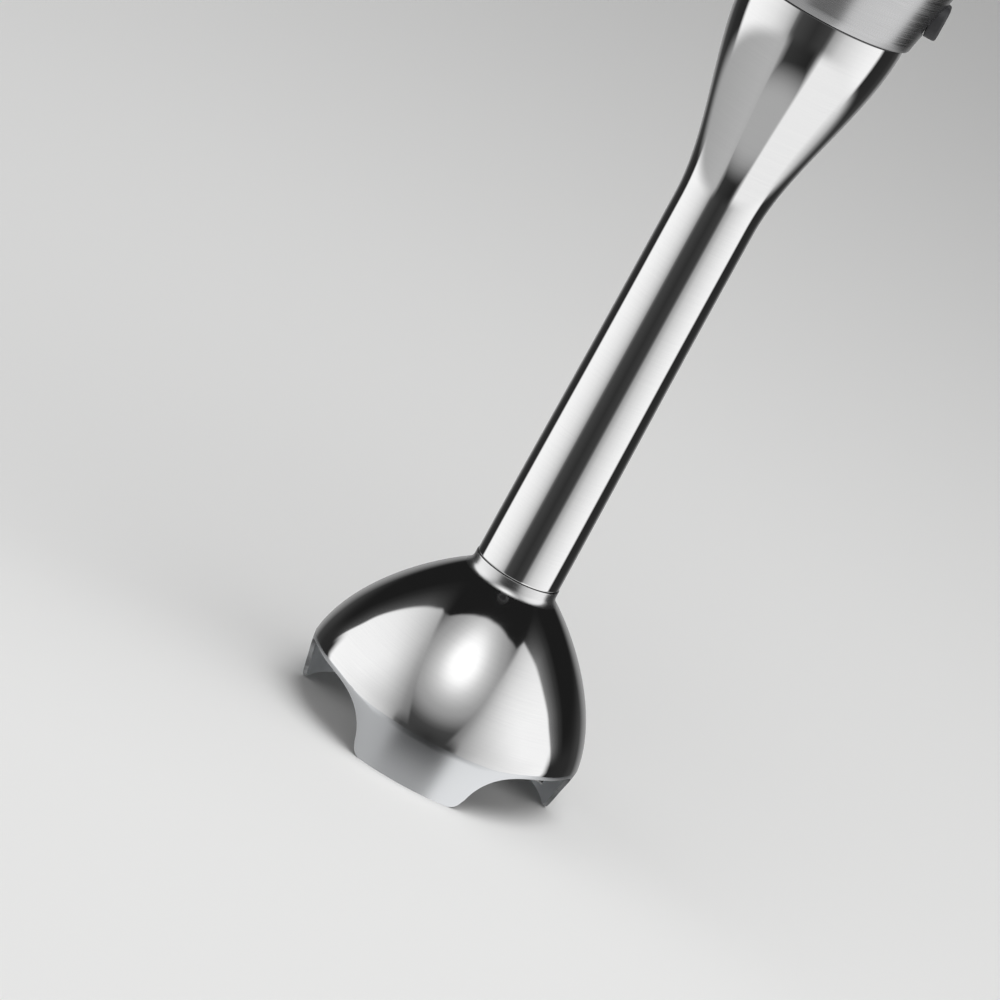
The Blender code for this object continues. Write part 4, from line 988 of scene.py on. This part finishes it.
KEPT = {
    BRONZE: ("lower_bush", "upper_bush"),
    BRASS: ("brush_holder_left", "brush_holder_right"),
    RUBBER: ("motor_seal", "lower_motor_mount", "upper_motor_mount", "button_membrane"),
    NYLON_GREY: ("upper_bearing_holder",),
    NYLON_BLACK: ("cooling_fan",),
    NYLON_WHITE: ("capacitor",),
    BUTTON_DARK: ("on_switch", "turbo_switch"),
    TURNED_STEEL: ("shaft_clip", "frame_screw_front", "frame_screw_rear", "motor_shaft",
                   "lower_ball_bearing", "upper_ball_bearing", "potentiometer"),
    ALUMINIUM: ("lower_end_frame", "upper_end_frame"),
    IRON: ("stator_core", "armature_core"),
    COPPER_WIRE: ("field_coil_front", "field_coil_rear", "armature_winding"),
    SEGMENTS: ("commutator",),
    CARBON: ("carbon_brush_left", "carbon_brush_right"),
    BOARD: ("control_board",),
}


def finish_kept_nodes():
    for finish, names in KEPT.items():
        for name in names:
            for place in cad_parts[name].material_slots:
                place.material = finish


# ---------------------------------------------------------------- studio

def distance(tree, a, b):
    squares = sum_of(tree, "ADD", sum_of(tree, "MULTIPLY", a, a), sum_of(tree, "MULTIPLY", b, b))
    return sum_of(tree, "SQRT", squares)


def stops_between(low, high, stops):
    """Stops given in degrees, as places from 0 to 1."""
    return [((place - low) / (high - low), value) for place, value in stops]


def angle_from(tree, way, direction):
    """Degrees between the ray and a direction."""
    dot = node(tree, "ShaderNodeVectorMath", operation="DOT_PRODUCT")
    tree.links.new(way, dot.inputs[0])
    dot.inputs[1].default_value = direction
    return sum_of(tree, "MULTIPLY", sum_of(tree, "ARCCOSINE", dot.outputs["Value"]), 180.0 / math.pi)


def second_bounce(tree, share):
    """1 for the first reflection and less for the next ones, so that the lights do not show twice."""
    return spread(tree, node(tree, "ShaderNodeLightPath").outputs["Glossy Depth"], 1.0, 2.0, 1.0, share)


def overhead_light(tree, p, q):
    """Light seen on an overhead chart: two white walls with a lamp strip between them.

    p and q are degrees from straight up, p to the right and q towards the front.
    """
    place = spread(tree, p, -100.0, 100.0, 0.0, 1.0)
    wall = shades(tree, place, stops_between(-100, 100, (
        (-92, 1.04), (-75, 1.02), (-65, 1.0), (-60, 0.97), (-55, 0.92), (-50, 0.83), (-45, 0.71), (-40, 0.58),
        (-35, 0.43), (-28, 0.34), (0, 0.30), (24, 0.34), (29, 0.45), (35, 0.67), (40, 0.80), (45, 0.89),
        (50, 0.95), (60, 1.01), (85, 1.02), (92, 1.0))))
    fade = shades(tree, spread(tree, q, 0.0, 90.0, 0.0, 1.0), stops_between(0, 90, (
        (20, 1.0), (30, 0.95), (40, 0.85), (50, 0.74), (60, 0.63), (70, 0.52), (80, 0.40), (90, 0.33))))
    wall = sum_of(tree, "MULTIPLY", wall, fade)

    from_lamp = distance(tree, sum_of(tree, "SUBTRACT", p, LAMP_P), sum_of(tree, "SUBTRACT", q, LAMP_Q))
    lamp = shades(tree, sum_of(tree, "DIVIDE", from_lamp, 60.0), stops_between(0, 60, (
        (0, 1.2), (9, 1.15), (12, 1.0), (14, 0.88), (18, 0.67), (22, 0.53), (27, 0.40), (32, 0.32), (37, 0.21),
        (42, 0.10), (46, 0.05), (60, 0.03))))
    lamp = sum_of(tree, "MULTIPLY", lamp, second_bounce(tree, 0.06))
    left_side = sum_of(tree, "SUBTRACT", sum_of(tree, "MULTIPLY", q, 0.1), 35.0)
    right_side = sum_of(tree, "SUBTRACT", 31.0, sum_of(tree, "MULTIPLY", q, 0.1))
    strip = sum_of(tree, "MULTIPLY",
                   spread(tree, sum_of(tree, "SUBTRACT", p, left_side), -1.5, 1.5, 0.0, 1.0, True),
                   spread(tree, sum_of(tree, "SUBTRACT", right_side, p), -2.0, 2.0, 0.0, 1.0, True))
    lit = blend(tree, strip, wall, lamp)

    edge = shades(tree, place, stops_between(-100, 100, [(a, (e + 70.0) / 90.0) for a, e in (
        (-100, -64), (-80, -43), (-60, -24), (-40, -2), (-36.5, 1), (-34, 5), (-30, 8.5), (-20, 10.5),
        (-10, 12), (3, 12.5), (20, 11), (29, 8), (32, 1), (37, -1.5), (45, -6.5), (55, -11), (65, -16),
        (85, -26), (100, -36))]))
    below = sum_of(tree, "SUBTRACT", q, spread(tree, edge, 0.0, 1.0, -70.0, 20.0))
    side = spread(tree, sum_of(tree, "ABSOLUTE", p), 31.0, 45.0, 0.0, 1.0)
    softness = spread(tree, side, 0.0, 1.0, 0.9, 1.9)
    inside = spread(tree, sum_of(tree, "DIVIDE", below, softness), -1.0, 1.0, 0.0, 1.0, True)
    glow = shades(tree, spread(tree, below, 0.0, -24.0, 0.0, 1.0), (
        (0.0, 0.24), (0.2, 0.15), (0.4, 0.085), (0.65, 0.03), (1.0, 0.0)))
    glow = sum_of(tree, "MULTIPLY", glow, sum_of(tree, "MULTIPLY", side, spread(tree, p, -10, 30, 0.4, 1.0)))
    return blend(tree, inside, glow, lit)


def blend(tree, share, first, second):
    mix = node(tree, "ShaderNodeMix", data_type="FLOAT")
    feed(tree, mix.inputs["Factor"], share)
    feed(tree, mix.inputs["A"], first)
    feed(tree, mix.inputs["B"], second)
    return mix.outputs[0]


def light_tent():
    """A soft white tent round the front with a lamp strip above it, and darkness behind."""
    world = bpy.data.worlds.new("light_tent")
    bpy.context.scene.world = world
    world.use_nodes = True
    tree = world.node_tree
    tree.nodes.clear()
    way = node(tree, "ShaderNodeTexCoord").outputs["Generated"]
    parts = node(tree, "ShaderNodeSeparateXYZ")
    tree.links.new(way, parts.inputs[0])
    x, y, z = parts.outputs
    degrees = 180.0 / math.pi
    front = sum_of(tree, "MULTIPLY", y, -1.0)
    across = sum_of(tree, "MULTIPLY", sum_of(tree, "ARCTAN2", x, front), degrees)
    height = sum_of(tree, "MULTIPLY", sum_of(tree, "ARCSINE", z), degrees)
    flat = sum_of(tree, "MAXIMUM", distance(tree, x, y), 0.0001)
    from_top = sum_of(tree, "DIVIDE", sum_of(tree, "SUBTRACT", 90.0, height), flat)
    p = sum_of(tree, "MULTIPLY", from_top, x)
    q = sum_of(tree, "MULTIPLY", from_top, front)
    high = overhead_light(tree, p, q)

    turn = spread(tree, across, -180.0, 180.0, 0.0, 1.0)
    level = shades(tree, turn, stops_between(-180, 180, (
        (-180, 0.12), (-150, 0.05), (-132, 0.015), (-115, 0.01), (-109, 1.05), (-90, 1.02), (-75, 0.96),
        (-60, 0.87), (-50, 0.76), (-42, 0.65), (-36, 0.52), (-31, 0.36), (-28, 0.12), (-23, 0.05), (0, 0.02),
        (19, 0.04), (23, 0.12), (26, 0.34), (34, 0.50), (42, 0.66), (50, 0.74), (60, 0.83), (75, 0.93),
        (90, 1.0), (102, 1.03), (108, 0.01), (132, 0.015), (150, 0.05), (180, 0.12))))
    lit = blend(tree, spread(tree, height, 13.0, -3.0, 0.0, 1.0, True), high, level)
    lit = sum_of(tree, "ADD", lit, 0.013)

    behind = angle_from(tree, way, (0.0, math.cos(math.radians(10.0)), -math.sin(math.radians(10.0))))
    rim = shades(tree, sum_of(tree, "DIVIDE", behind, 90.0), stops_between(0, 90, (
        (0, 0.34), (14, 0.32), (24, 0.2), (33, 0.04), (38, 0.0))))
    lit = sum_of(tree, "MAXIMUM", lit, rim)

    ground = shades(tree, turn, stops_between(-180, 180, (
        (-180, 0.3), (-110, 0.42), (-40, 0.49), (-30, 0.47), (-26, 0.25), (-20, 0.04), (14, 0.02), (19, 0.06),
        (23, 0.38), (28, 0.94), (95, 0.94), (125, 0.35), (150, 0.3))))
    ground = sum_of(tree, "MAXIMUM", ground, spread(tree, height, -29.0, -39.0, 0.02, 0.44, True))
    lit = blend(tree, spread(tree, height, -20.0, -26.0, 0.0, 1.0, True), lit, ground)
    lit = sum_of(tree, "MULTIPLY", lit, second_bounce(tree, 0.3))

    tent = node(tree, "ShaderNodeBackground")
    tree.links.new(lit, tent.inputs["Color"])
    backdrop = node(tree, "ShaderNodeBackground")
    backdrop.inputs["Color"].default_value = (0.88, 0.88, 0.88, 1.0)
    mix = node(tree, "ShaderNodeMixShader")
    tree.links.new(node(tree, "ShaderNodeLightPath").outputs["Is Camera Ray"], mix.inputs[0])
    tree.links.new(tent.outputs[0], mix.inputs[1])
    tree.links.new(backdrop.outputs[0], mix.inputs[2])
    out = node(tree, "ShaderNodeOutputWorld")
    tree.links.new(mix.outputs[0], out.inputs["Surface"])


def make_studio():
    nothing_selected()
    bpy.ops.mesh.primitive_plane_add(size=12.0)
    floor = bpy.context.object
    floor.name = "floor"
    floor.data.materials.append(new_finish("pale_floor", (0.86, 0.86, 0.855), 0.0, 0.9))
    floor.visible_glossy = False
    nothing_selected()
    bpy.ops.object.light_add(type="AREA", location=(0.25, -0.35, 1.5))
    lamp = bpy.context.object
    lamp.data.shape = "DISK"
    lamp.data.size = 1.4
    lamp.data.energy = 17.0
    lamp.visible_glossy = False
    lamp.rotation_euler = (Vector((0.0, 0.0, 0.0)) - lamp.location).to_track_quat("-Z", "Y").to_euler()
    light_tent()
    bpy.context.scene.view_settings.view_transform = "Standard"


def make_camera():
    """Long lens from the front, a little above the horizon."""
    target = Vector((-0.0119, 0.0, 0.0638))
    rise = math.radians(CAMERA_RISE)
    roll = math.radians(CAMERA_ROLL)
    back = Vector((0.0, -math.cos(rise), math.sin(rise)))
    up = Vector((0.0, math.sin(rise), math.cos(rise)))
    side = Vector((1.0, 0.0, 0.0))
    x = math.cos(roll) * side + math.sin(roll) * up
    y = math.cos(roll) * up - math.sin(roll) * side
    place = Matrix((x, y, back)).transposed().to_4x4()
    place.translation = target + back * CAMERA_REACH
    nothing_selected()
    bpy.ops.object.camera_add()
    camera = bpy.context.object
    camera.matrix_world = place
    camera.data.lens = 200.0
    camera.data.sensor_width = 36.0
    camera.data.clip_end = 50.0
    bpy.context.scene.camera = camera


make_camera()
make_studio()
make_bell()
make_foot_tube()
make_bearing_parts()
make_foot_collar()
make_shaft()
make_blade()
make_couplings()
make_sleeve()
make_casing()
make_controls()
for side in (-1, 1):
    make_release_button(side)
make_lid()
make_dial()
make_grommet()
make_socket()
finish_kept_nodes()
nothing_selected()
